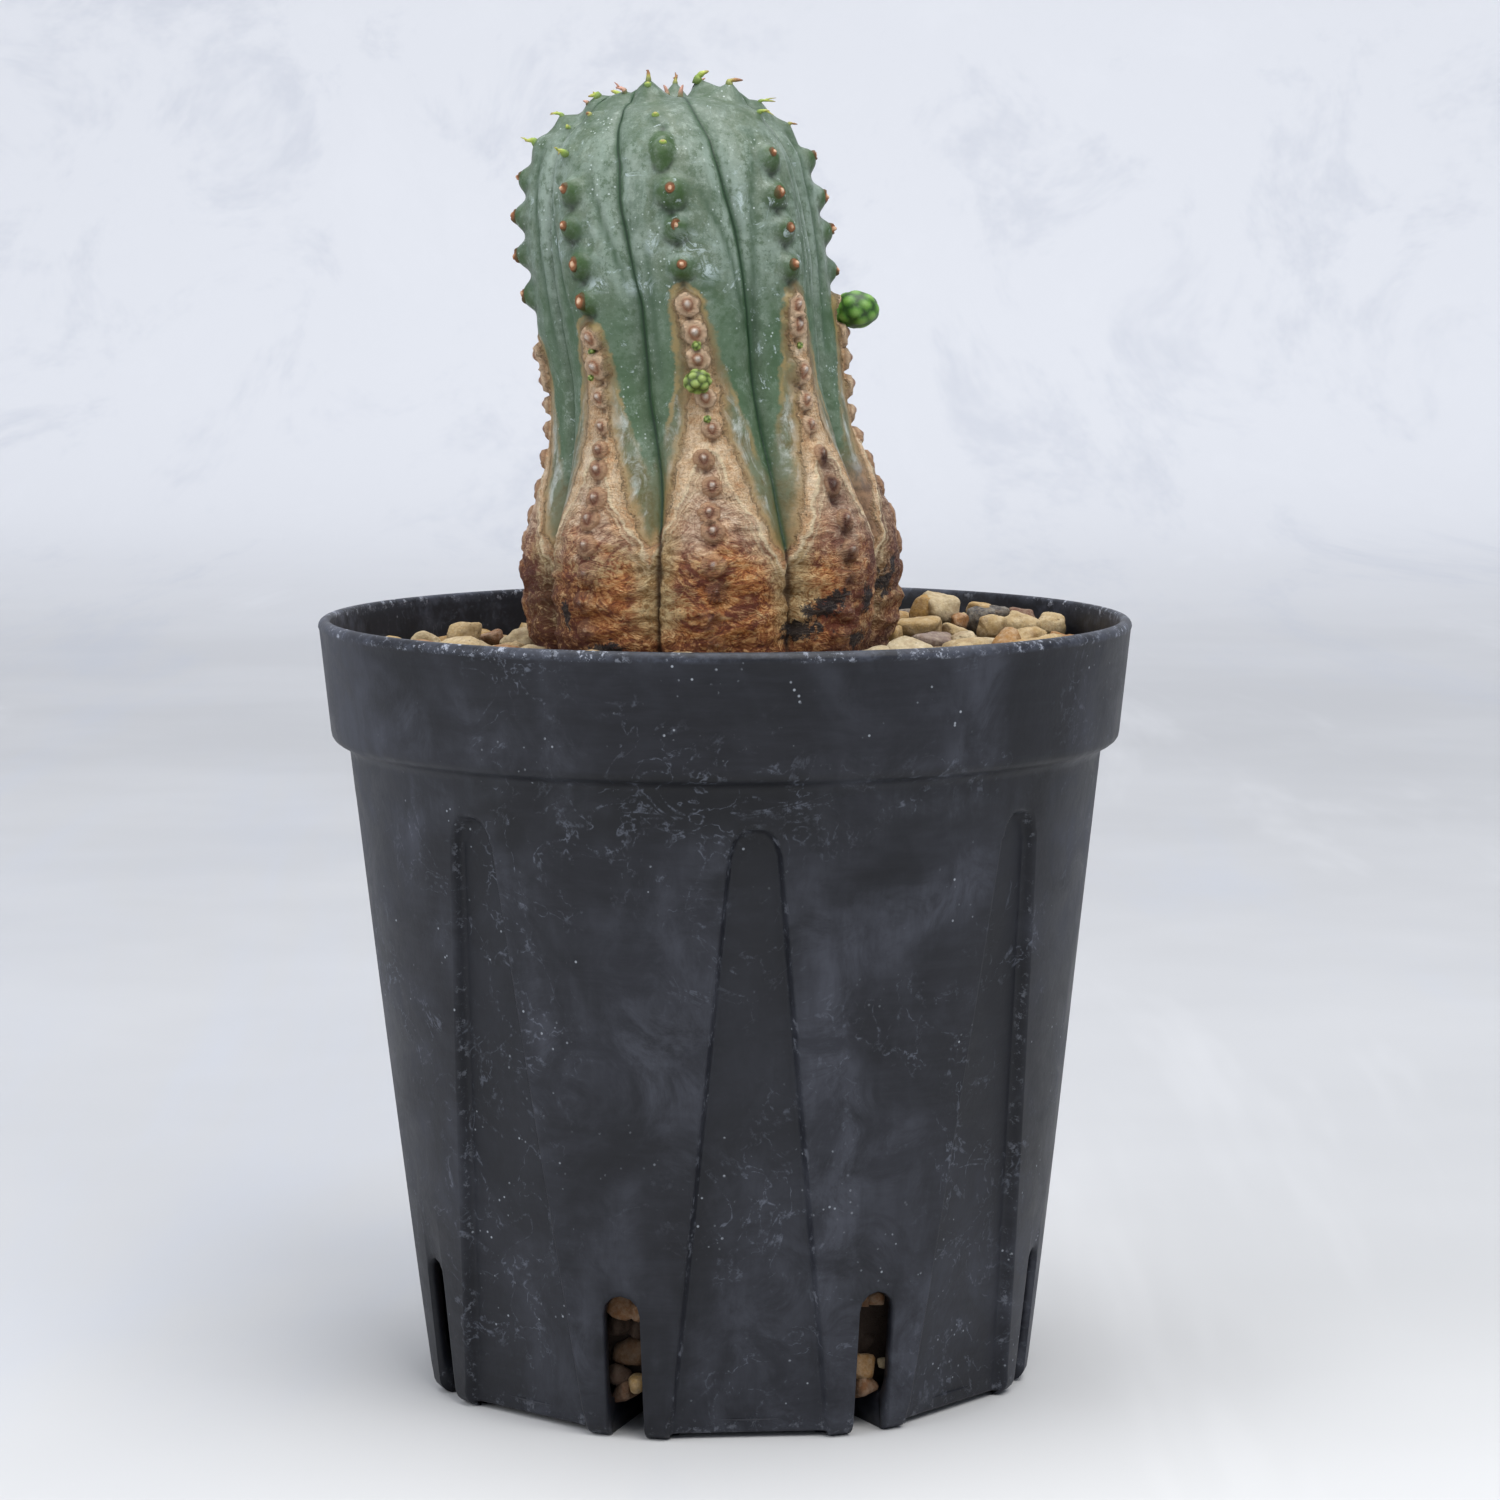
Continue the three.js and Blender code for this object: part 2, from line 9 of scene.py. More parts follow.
import bmesh
import bpy
import numpy as np
from mathutils import Euler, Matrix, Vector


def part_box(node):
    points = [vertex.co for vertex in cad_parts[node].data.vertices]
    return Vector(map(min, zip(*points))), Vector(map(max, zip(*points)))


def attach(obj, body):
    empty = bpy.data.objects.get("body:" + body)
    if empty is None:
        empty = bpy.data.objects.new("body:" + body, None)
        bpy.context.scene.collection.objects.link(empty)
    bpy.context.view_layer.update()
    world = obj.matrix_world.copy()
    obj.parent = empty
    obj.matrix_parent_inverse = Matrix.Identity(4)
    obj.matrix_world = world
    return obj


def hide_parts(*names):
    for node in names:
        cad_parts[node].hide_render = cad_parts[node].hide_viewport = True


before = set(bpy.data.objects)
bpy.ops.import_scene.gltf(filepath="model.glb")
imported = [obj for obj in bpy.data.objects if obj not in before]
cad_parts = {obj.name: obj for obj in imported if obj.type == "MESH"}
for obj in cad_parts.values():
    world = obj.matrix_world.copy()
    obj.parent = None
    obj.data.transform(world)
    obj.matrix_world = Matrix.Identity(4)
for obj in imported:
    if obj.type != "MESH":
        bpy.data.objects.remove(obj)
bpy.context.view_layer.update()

MM = 0.001

# ---- Sizes that repeat the CAD source ----

GAP = 0.3

POT_HEIGHT = 70.7
RIM_RADIUS = 37.5
LIP_ROUND = 0.7
BAND_FOOT_Z, BAND_FOOT_RADIUS, BAND_CORNER = 60.2, 36.4, 0.8
WALL_TOP_Z, WALL_TOP_RADIUS, WALL_FOOT_RADIUS = 58.9, 34.75, 28.4
WALL = 1.1
TOE_ROUND, TOE_RISE = 1.5, 0.5
FLOOR_UNDER_Z, FLOOR_TOP_Z = 1.8, 3.2
DOME_RISE, DOME_TOP, DOME_FOOT = 3.0, 8.0, 17.0
PANELS, FIRST_PANEL = 8, 4.6
ARCH_TOP_Z, ARCH_HALF, FOOT_HALF = 55.0, 1.8, 6.9
PANEL_DISTANCE, PANEL_SLOPE = 26.6, 0.122
SLIT_WIDTH, SLIT_TOP_Z, SLIT_INNER, BAR_WIDTH = 3.5, 13.2, 19.0, 2.2

BED_Z = 66.0
HEAPS = [(24, 16, 2.2, 10), (-24, 20, 0.5, 9)]  # x, y, height, spread

STEM_Y = 2.0
SOIL_Z = 67.0
RIBS = [1, 48, 92, 136, 181, 226, 271, 318.5]
RIB_DRIFT = [(75, 0), (90, 1), (99, 1.8), (106, 0), (113, -3)]
STEM_AXIS = [(48, -1.3), (78, -1.3), (84, -1.7), (90.5, -2.7), (99.7, -4), (108.8, -4.7), (120.1, -5)]
STEM_OUTLINE = [
    (0, 48), (3.4, 50), (8, 56), (12.6, 61.5), (15.6, 66), (17, 70), (17.5, 74), (17.2, 78), (15.6, 82.5),
    (14.1, 87), (13.3, 92), (13.4, 97), (13.5, 102), (13.2, 106), (12.6, 110), (11.5, 113.3), (9.4, 115.9),
    (6.8, 117.5), (4, 118), (1.8, 117.7), (0, 117.4),
]
GROOVES = [  # height, depth of the broad hollow, depth of the crease
    (60, 0, 0), (66, 0.8, 0.3), (72, 1.6, 0.7), (80, 1.5, 0.7), (90, 0.9, 0.5), (110, 0.7, 0.5),
    (116, 0.6, 0.4), (118.1, 0.1, 0.1),
]

# ---- Numbers: interpolation, noise and random draws ----


def look_up(rows, key, column=1):
    """Interpolates a column of a table whose first column is the key."""
    rows = np.array(rows, float)
    return np.interp(key, rows[:, 0], rows[:, column])


def smooth(value, low, high):
    """A share that rises softly from 0 at low to 1 at high."""
    share = np.clip((value - low) / (high - low), 0, 1)
    return share * share * (3 - 2 * share)


def bell(distance, width):
    return np.exp(-((distance / width) ** 2))


def lattice(cell, seed):
    """A repeatable random value from -1 to 1 for each whole cell. The numbers only scramble its bits."""
    n = cell[..., 0] * 374761393 + cell[..., 1] * 668265263 + cell[..., 2] * 1440662683 + seed * 974634777
    n &= 0xFFFFFFFF
    n = ((n ^ (n >> 13)) * 1274126177) & 0xFFFFFFFF
    return ((n ^ (n >> 16)) & 0xFFFF) / 32767.5 - 1


def noise(points, wavelength, seed=0, octaves=1):
    """Value noise from -1 to 1 at points in millimetres. The wavelength may be one for each axis."""
    total, weight, sum_of_weights = 0.0, 1.0, 0.0
    for octave in range(octaves):
        p = points / np.array(wavelength) * 2**octave
        cell = np.floor(p).astype(np.int64)
        f = p - cell
        f = f * f * f * (f * (f * 6 - 15) + 10)
        value = 0.0
        for corner in np.ndindex(2, 2, 2):
            share = np.prod(np.where(corner, f, 1 - f), axis=-1)
            value = value + share * lattice(cell + corner, seed + 17 * octave)
        total = total + weight * value
        sum_of_weights += weight
        weight *= 0.5
    return total / sum_of_weights


# ---- Meshes ----


def piece(name, points, faces, material, slot, replaces=(), **attributes):
    """One visible piece, smooth-shaded, from points in millimetres. Attributes: one number a point."""
    mesh = bpy.data.meshes.new(name)
    mesh.from_pydata((np.asarray(points) * MM).tolist(), [], [tuple(int(i) for i in face) for face in faces])
    for key, values in attributes.items():
        layer = mesh.attributes.new(key, "FLOAT", "POINT")
        layer.data.foreach_set("value", np.asarray(values, np.float32))
    mesh.materials.append(material)
    mesh.shade_smooth()
    obj = bpy.data.objects.new(name, mesh)
    bpy.context.scene.collection.objects.link(obj)
    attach(obj, "root")
    if replaces:
        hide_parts(*replaces)


def grid_faces(rows, columns, skip=None, flip=False):
    """Quads of a grid whose columns close on themselves."""
    faces = []
    for row in range(rows - 1):
        for column in range(columns):
            if skip is not None and skip(row, column):
                continue
            after = (column + 1) % columns
            face = (row * columns + column, row * columns + after,
                    (row + 1) * columns + after, (row + 1) * columns + column)
            faces.append(face[::-1] if flip else face)
    return faces


def fan(middle, first, count, flip=False):
    """Triangles from a middle point to the ring of points that starts at the first."""
    around = [(first + i, first + (i + 1) % count) for i in range(count)]
    return [(middle, a, b) if flip else (middle, b, a) for a, b in around]


def merged_piece(name, parts, material, slot, replaces=()):
    """One piece from several (points, faces, attributes)."""
    points, faces, attributes, start = [], [], {}, 0
    for part_points, part_faces, part_attributes in parts:
        points.append(part_points)
        faces.extend([tuple(i + start for i in face) for face in part_faces])
        for key, values in part_attributes.items():
            attributes.setdefault(key, []).append(np.broadcast_to(values, len(part_points)))
        start += len(part_points)
    attributes = {key: np.concatenate(values) for key, values in attributes.items()}
    piece(name, np.concatenate(points), faces, material, slot, replaces, **attributes)


def ball(subdivisions):
    """Points and faces of a unit icosphere."""
    mesh = bmesh.new()
    bmesh.ops.create_icosphere(mesh, subdivisions=subdivisions, radius=1)
    points = np.array([v.co[:] for v in mesh.verts])
    faces = [tuple(v.index for v in f.verts) for f in mesh.faces]
    mesh.free()
    return points, faces


BALLS = {level: ball(level) for level in (2, 3, 4)}


def across_to(direction):
    """A unit vector square to a direction."""
    w = np.asarray(direction, float) / np.linalg.norm(direction)
    side = np.array([0, 0, 1.0]) if abs(w[2]) < 0.9 else np.array([1.0, 0, 0])
    u = np.cross(side, w)
    return u / np.linalg.norm(u)


def tube(path, radii, sides, squash=1.0, start=0.0, end=1.0):
    """A closed tapering tube along a path. Its attribute 'along' runs from the start's value to the end's."""
    path = np.asarray(path, float)
    tangents = np.gradient(path, axis=0)
    u = across_to(tangents[0])
    rings = []
    angles = np.arange(sides) * 2 * np.pi / sides
    for point, tangent, radius in zip(path, tangents, radii):
        w = tangent / np.linalg.norm(tangent)
        u = u - w * np.dot(u, w)
        u /= np.linalg.norm(u)
        v = np.cross(w, u)
        rings.append(point + radius * (np.outer(np.cos(angles), u) + squash * np.outer(np.sin(angles), v)))
    points = np.concatenate(rings + [path[:1], path[-1:] + tangents[-1] * 0.25])
    rows = len(path)
    first, last = rows * sides, rows * sides + 1
    faces = grid_faces(rows, sides) + fan(first, 0, sides) + fan(last, first - sides, sides, flip=True)
    share = np.concatenate([np.repeat(np.linspace(0, 1, rows), sides), [0, 1]])
    return points, faces, {"along": start + (end - start) * share}


# ---- Materials ----


class Shader:
    """A small builder of node materials on one Principled shader."""

    def __init__(self, name, **constants):
        self.material = bpy.data.materials.new(name)
        self.material.use_nodes = True
        self.tree = self.material.node_tree
        self.tree.nodes.clear()
        output = self.tree.nodes.new("ShaderNodeOutputMaterial")
        self.bsdf = self.tree.nodes.new("ShaderNodeBsdfPrincipled")
        self.tree.links.new(self.bsdf.outputs[0], output.inputs[0])
        for socket, value in constants.items():
            self.bsdf.inputs[socket.replace("_", " ")].default_value = value
        self.place = self.node("ShaderNodeTexCoord", output="Object")

    def node(self, kind, inputs=None, output=0, **settings):
        node = self.tree.nodes.new(kind)
        for key, value in settings.items():
            setattr(node, key, value)
        for key, value in (inputs or {}).items():
            self.feed(value, node.inputs[key])
        return node.outputs[output]

    def feed(self, value, socket):
        if isinstance(value, bpy.types.NodeSocket):
            self.tree.links.new(value, socket)
        elif isinstance(value, tuple) and socket.type == "RGBA":
            socket.default_value = (*value, 1)
        else:
            socket.default_value = value

    def attribute(self, name):
        return self.node("ShaderNodeAttribute", output="Fac", attribute_name=name)

    def axis(self, letter):
        """The place along an axis, in metres."""
        return self.node("ShaderNodeSeparateXYZ", {0: self.place}, output=letter)

    def height(self):
        """The height over the ground, in millimetres."""
        return self.both(self.axis("Z"), 1000.0)

    def math(self, operation, a, b=0.0):
        return self.node("ShaderNodeMath", {0: a, 1: b}, operation=operation)

    def both(self, *shares):
        """The product of shares. A share is a number, a socket or the arguments of a ramp."""
        result, *others = [self.ramp(*share) if isinstance(share, tuple) else share for share in shares]
        for share in others:
            result = self.math("MULTIPLY", result, share)
        return result

    def plus(self, *values):
        result = values[0]
        for value in values[1:]:
            result = self.math("ADD", result, value)
        return result

    def centred(self, value):
        return self.math("SUBTRACT", value, 0.5)

    def ramp(self, value, low, high, to_low=0.0, to_high=1.0):
        inputs = {"Value": value, "From Min": low, "From Max": high, "To Min": to_low, "To Max": to_high}
        return self.node("ShaderNodeMapRange", inputs, interpolation_type="SMOOTHSTEP")

    def line(self, value, near, far):
        """1 where the value is about 0, and 0 where it is further from it."""
        return self.ramp(self.math("ABSOLUTE", value), near, far, 1.0, 0.0)

    def noise(self, wavelength, detail=3.0, rough=0.55, distortion=0.0, stretch=None):
        """Noise of about 0..1, with a wavelength in millimetres."""
        place = self.place
        if stretch:
            place = self.node("ShaderNodeMapping", {"Vector": self.place, "Scale": stretch})
        inputs = {"Vector": place, "Scale": 1000 / wavelength, "Detail": detail,
                  "Roughness": rough, "Distortion": distortion}
        return self.node("ShaderNodeTexNoise", inputs)

    def dots(self, size, near, far):
        """Small round dots, scattered as the cells of a size in millimetres are."""
        inputs = {"Vector": self.place, "Scale": 1000 / size}
        return self.ramp(self.node("ShaderNodeTexVoronoi", inputs, output="Distance"), near, far, 1.0, 0.0)

    def mix(self, share, a, b):
        node = self.tree.nodes.new("ShaderNodeMix")
        node.data_type = "RGBA"
        self.feed(share, node.inputs["Factor"])
        colours = [s for s in node.inputs if s.type == "RGBA"]
        self.feed(a, colours[0])
        self.feed(b, colours[1])
        return [s for s in node.outputs if s.type == "RGBA"][0]

    def colours(self, value, *stops):
        """A colour band: stops are (position, colour)."""
        node = self.tree.nodes.new("ShaderNodeValToRGB")
        elements = node.color_ramp.elements
        while len(elements) < len(stops):
            elements.new(0.5)
        for element, (position, colour) in zip(elements, stops):
            element.position = position
            element.color = (*colour, 1)
        self.feed(value, node.inputs[0])
        return node.outputs[0]

    def bump(self, height, depth, normal=None):
        """A bump whose height of 0..1 stands for a depth in millimetres."""
        inputs = {"Height": height, "Distance": depth * MM, "Strength": 1.0}
        if normal is not None:
            inputs["Normal"] = normal
        return self.node("ShaderNodeBump", inputs)

    def finish(self, colour, roughness, normal=None):
        self.feed(colour, self.bsdf.inputs["Base Color"])
        self.feed(roughness, self.bsdf.inputs["Roughness"])
        if normal is not None:
            self.feed(normal, self.bsdf.inputs["Normal"])
        return self.material


class Paint:
    """A colour that is covered coat by coat."""

    def __init__(self, shader, colour):
        self.shader = shader
        self.colour = colour

    def coat(self, colour, *shares):
        """Covers the paint by the product of the shares."""
        self.colour = self.shader.mix(self.shader.both(*shares), self.colour, colour)

    def stain(self, colour, strength, *shares):
        """A coat that lets some of the paint show through."""
        self.coat(self.shader.mix(strength, self.colour, colour), *shares)


def pot_material():
    """Black plastic with dust, water marks, lime, a chalky lip and worn edges, and painted shade under the
    band's step, on the recessed panels and inside.
    """
    s = Shader("pot_plastic", IOR=1.48, Specular_IOR_Level=0.3)
    height, inside, lip = s.height(), s.attribute("inside"), s.attribute("lip")
    broad = s.noise(22, 4, 0.6, 0.6)
    middle = s.noise(6, 6, 0.72, 0.8)
    fine = s.noise(0.7, 4, 0.75)
    paint = Paint(s, s.mix(s.ramp(broad, 0.34, 0.66), (0.0086, 0.0092, 0.0127), (0.0185, 0.0200, 0.0272)))
    weave = s.noise(1.1, 4, 0.7, stretch=(0.12, 0.12, 1.0))
    paint.coat((0.032, 0.035, 0.046), (weave, 0.4, 0.64, 0.0, 0.17))
    paint.coat((0.006, 0.0068, 0.0095), (s.noise(11, 5, 0.62, 1.0), 0.54, 0.36, 0.0, 0.55))
    # A dark band of painted shade under the band's step, with a ragged edge
    paint.coat((0.0060, 0.0066, 0.0085), (height, BAND_FOOT_Z - 7.5, BAND_FOOT_Z - 4),
               (middle, 0.40, 0.54, 0.25, 0.85), (height, BAND_FOOT_Z + 0.4, BAND_FOOT_Z - 0.4))
    # Dust in clouds, smeared downwards; then painted shade on the recessed panels, stronger higher up
    smear = s.noise(3, 4, 0.7, 0.2, stretch=(1.0, 1.0, 0.2))
    dust = s.both((broad, 0.38, 0.62), (middle, 0.36, 0.64), (smear, 0.3, 0.65, 0.4, 1.0))
    paint.coat((0.074, 0.079, 0.098), dust, 0.62)
    paint.coat((0.0085, 0.0092, 0.0122), s.attribute("panel"), (height, 12, 34, 0.3, 0.62))
    # Water marks: a web of pale broken threads where noises cross their middles
    webs = s.math("MAXIMUM", s.line(s.centred(s.noise(10, 4, 0.55, 1.0)), 0.0, 0.014),
                  s.line(s.centred(s.noise(5.5, 4, 0.52, 0.6)), 0.0, 0.016))
    patches = s.ramp(s.noise(14, 3, 0.5, 0.3), 0.43, 0.62, 0.0, 0.9)
    paint.coat((0.15, 0.166, 0.205), webs, patches, (fine, 0.44, 0.6), (middle, 0.4, 0.6), 0.6)
    # Fine specks of lime, crowded in places
    paint.coat((0.36, 0.39, 0.43), s.dots(0.8, 0.09, 0.19),
               (s.noise(4.5, 4, 0.7), 0.55, 0.64), (s.noise(16, 2), 0.44, 0.56), 0.8)
    # Wear along the edges of the panels and toes, painted shade darkening the inside, the chalky and chipped
    # lip, and the haze within
    paint.coat((0.20, 0.215, 0.25), s.attribute("edge"), (s.noise(1.3, 4, 0.75), 0.54, 0.66), 0.5)
    paint.coat((0.006, 0.007, 0.011), inside, 0.5)
    paint.coat((0.085, 0.096, 0.128), lip, (s.noise(3, 5, 0.76), 0.42, 0.62, 0.1, 1.0), 0.4)
    paint.coat((0.40, 0.43, 0.50), lip, (s.noise(0.9, 5, 0.8), 0.54, 0.62),
               (s.noise(13, 3, 0.6), 0.40, 0.56), 0.75)
    paint.coat((0.09, 0.10, 0.135), inside, (height, 65.5, 70),
               (s.noise(5, 4, 0.7), 0.48, 0.68), 0.5)
    roughness = s.plus(s.ramp(middle, 0.3, 0.7, 0.42, 0.52), s.both(dust, 0.15))
    return s.finish(paint.colour, roughness, s.bump(fine, 0.02, s.bump(s.noise(3.5, 3, 0.6), 0.05)))


def grain_material():
    """Grains from cream over ochre and rust to near black, by the attribute 'tone'; 'shade' darkens them."""
    s = Shader("grains", IOR=1.45)
    paint = Paint(s, s.colours(
        s.attribute("tone"), (0.0, (0.45, 0.37, 0.23)), (0.22, (0.40, 0.28, 0.125)),
        (0.42, (0.36, 0.21, 0.055)), (0.6, (0.27, 0.115, 0.036)), (0.74, (0.13, 0.055, 0.034)),
        (0.86, (0.20, 0.145, 0.125)), (1.0, (0.03, 0.029, 0.034))))
    paint.stain((0.80, 0.72, 0.56), 0.45, (s.noise(0.8, 4, 0.7), 0.35, 0.68), 0.5)
    paint.stain((0.17, 0.075, 0.028), 0.6, (s.noise(2.2, 4, 0.65, 0.5), 0.52, 0.7), 0.6)
    speckle = s.noise(0.45, 4, 0.75)
    paint.stain((0.16, 0.10, 0.045), 0.5, (speckle, 0.58, 0.42, 0.0, 0.45))
    pores = s.both(s.dots(0.5, 0.1, 0.26), (s.noise(1.6, 2), 0.5, 0.62))
    paint.coat((0.10, 0.065, 0.04), pores, 0.4)
    paint.coat((0.022, 0.013, 0.008), s.attribute("shade"))
    rough_top = s.bump(s.noise(0.7, 4, 0.7), 0.16)
    return s.finish(paint.colour, 0.85, s.bump(pores, -0.08, s.bump(speckle, 0.1, rough_top)))


class StemShader(Shader):
    """The stem's shader, with what its points say of themselves and the noises that its paints share."""

    def __init__(self):
        super().__init__("stem_skin", IOR=1.42)
        self.z = self.height()
        self.groove, self.fold, self.knob = map(self.attribute, ("groove", "fold", "knob"))
        self.pit, self.bead, self.weather = map(self.attribute, ("pit", "bead", "weather"))
        # How far inside the edge of the cork, of its older part and of the olive skin, in mm
        self.ragged = self.centred(self.noise(1.3, 5, 0.72))
        self.cork = self.plus(self.attribute("cork"), self.both(self.ragged, 1.9))
        self.inner = self.plus(self.attribute("inner"), self.both(self.ragged, 1.2))
        self.tent = self.plus(self.attribute("tent"), self.both(self.ragged, 1.8))
        self.granules = self.noise(1.15, 6, 0.78)
        self.across = self.noise(0.55, 4, 0.7, 0.3, stretch=(0.45, 0.45, 1.6))
        swirl = self.noise(3.6, 3, 0.6, 1.1, stretch=(0.75, 0.75, 1.35))
        ridge = self.wave(swirl, 70.0, 6.0)
        creased = self.noise(0.8, 6, 0.74, 0.7, stretch=(0.75, 0.75, 1.4))
        self.wrinkle = self.plus(self.both(creased, 0.8), self.both(ridge, 0.045), 0.1)
        self.wander = self.noise(5.5, 4, 0.62, 1.0)
        self.low = self.ramp(self.plus(self.z, self.both(self.centred(self.wander), 16.0)), 81, 74)
        self.contour = self.wave(self.cork, 15.0, 7.0)
        broken = self.ramp(self.noise(2.5, 2), 0.4, 0.6, 0.25, 1.0)
        self.lines = self.both((self.contour, 0.2, 1.0), broken)

    def wave(self, value, density, raggedness):
        """Stripes along the lines of equal value."""
        return self.math("SINE", self.plus(self.both(value, density), self.both(self.ragged, raggedness)))


def green_skin(s):
    """A waxy bloom over darker green, with faint bands, granules, scuffs, painted shade in the creases and
    white flecks that are painted highlights.
    """
    bands = s.noise(2.0, 4, 0.62, 0.35, stretch=(0.16, 0.16, 1.0))
    streaks = s.noise(2.4, 4, 0.6, 0.4, stretch=(1.0, 1.0, 0.12))
    clouds = s.ramp(s.noise(5.5, 5, 0.62, 0.5), 0.32, 0.68)
    green = Paint(s, s.mix(clouds, (0.072, 0.118, 0.072), (0.178, 0.232, 0.182)))
    green.coat((0.185, 0.24, 0.195), (s.z, 97, 107), 0.15)
    green.coat((0.265, 0.335, 0.28), (bands, 0.5, 0.68), (s.z, 98, 106, 0.12, 0.4))
    green.coat((0.055, 0.095, 0.055), (bands, 0.52, 0.34), 0.6)
    # The flanks' streaks of bloom, then the darker lower part and crown
    green.coat((0.255, 0.325, 0.27), (s.groove, 0.25, 0.7), (s.groove, 4.6, 2.4),
               (s.z, 98, 104), (s.z, 117, 113), (streaks, 0.38, 0.64, 0.1, 0.75))
    green.coat((0.075, 0.122, 0.055), (s.z, 102, 88), 0.55)
    green.coat((0.09, 0.13, 0.09), (s.z, 112.5, 117), 0.7)
    # Mottle and granules
    green.coat((0.084, 0.118, 0.064), (s.noise(3.0, 5, 0.7, 0.8), 0.42, 0.56),
               (s.groove, 1.0, 3.0), (s.z, 96, 101), 0.6)
    green.coat((0.05, 0.09, 0.042), (s.granules, 0.5, 0.62), 0.7)
    green.coat((0.28, 0.345, 0.285), (s.granules, 0.47, 0.36), 0.45)
    # Painted shade in the creases, then the skin above the cork, and the knobs
    green.coat((0.045, 0.085, 0.045), s.fold, 0.85)
    green.coat((0.05, 0.11, 0.045), (s.groove, 0.2, 2.6), (s.z, 104, 96, 0.0, 0.5))
    green.coat((0.036, 0.080, 0.018), s.knob, (s.granules, 0.38, 0.6, 0.62, 1.0), 0.96)
    # Pale scuffs, then white flecks that are painted highlights
    scuffs = s.both((s.noise(3.6, 5, 0.74, 1.8), 0.6, 0.68), (s.granules, 0.4, 0.6))
    placed = s.both(s.attribute("scuff"), (s.noise(1.4, 5, 0.75, 1.5), 0.46, 0.58))
    green.coat((0.52, 0.62, 0.63), s.math("MAXIMUM", scuffs, placed), 0.7)
    green.coat((0.60, 0.68, 0.66), s.dots(0.6, 0.08, 0.2), (s.noise(5, 3, 0.6), 0.48, 0.6), 0.6)
    return green


def olive_skin(s):
    """Olive skin beside the cork, clouded with pale bloom that is brightened as painted highlights, with a
    brown border.
    """
    clouds = s.ramp(s.noise(2.2, 5, 0.7, 0.6), 0.38, 0.6)
    olive = Paint(s, s.mix(clouds, (0.105, 0.090, 0.030), (0.130, 0.150, 0.085)))
    # Pale cloudy patches: bloom, brightened as painted highlights
    olive.coat((0.46, 0.49, 0.45), (s.noise(2.6, 5, 0.7, 0.8, stretch=(1.2, 1.2, 0.6)), 0.47, 0.64),
               (s.z, 96, 89), (s.z, 77, 81), (s.groove, 0.6, 1.6),
               (s.granules, 0.35, 0.6, 1.0, 0.45))
    olive.coat((0.16, 0.125, 0.045), (s.z, 83, 78), 0.6)
    brown = s.mix(s.ramp(s.z, 90, 95), (0.40, 0.25, 0.11), (0.22, 0.13, 0.05))
    olive.coat(brown, (s.cork, -1.3, -0.2, 0.0, 0.7))
    return olive


def aged_skin(s):
    """The green skin, olive beside the cork, withered on the weathered side, with painted shade in the grooves
    and pits.
    """
    aged = green_skin(s)
    clear = s.math("MAXIMUM", s.ramp(s.groove, 0.3, 1.4, 0.15, 0.92), s.both((s.z, 91, 83), 0.92))
    aged.coat(olive_skin(s).colour, (s.tent, -0.5, 0.35), clear)
    aged.coat((0.30, 0.215, 0.085), s.line(s.tent, 0.05, 0.42), (s.noise(3, 3), 0.4, 0.6, 0.2, 0.8),
              (s.groove, 0.8, 2.0))
    withered = s.mix(s.ramp(s.granules, 0.4, 0.6), (0.09, 0.036, 0.018), (0.26, 0.14, 0.075))
    aged.coat(withered, s.weather, (s.z, 87, 84), 0.9)
    # Painted shade in the grooves' creases
    aged.coat((0.018, 0.062, 0.02), (s.groove, 0.05, 0.5, 0.9, 0.0))
    aged.coat((0.006, 0.024, 0.008), (s.groove, 0.03, 0.17, 0.85, 0.0))
    # Painted shade in the pits, along the knobs' lower edges and under them
    aged.coat((0.008, 0.016, 0.006), s.pit, 0.95)
    return aged


def outer_cork(s, low_cork):
    """Orange-tan cork, striped finely across and along its edge."""
    stripes = s.plus(s.both(s.across, 0.35), s.both(s.noise(2.2, 4, 0.65), 0.65))
    outer = Paint(s, s.colours(stripes, (0.34, (0.50, 0.25, 0.11)), (0.47, (0.73, 0.50, 0.29)),
                               (0.62, (0.90, 0.74, 0.53))))
    outer.coat((0.32, 0.14, 0.05), (s.contour, -0.3, -1.0), 0.4)
    outer.coat((0.86, 0.68, 0.44), s.lines, 0.6)
    outer.coat((0.33, 0.19, 0.075), (s.cork, 0.8, 0.0, 0.0, 0.5))
    outer.coat(low_cork, s.low, 0.55)
    return outer


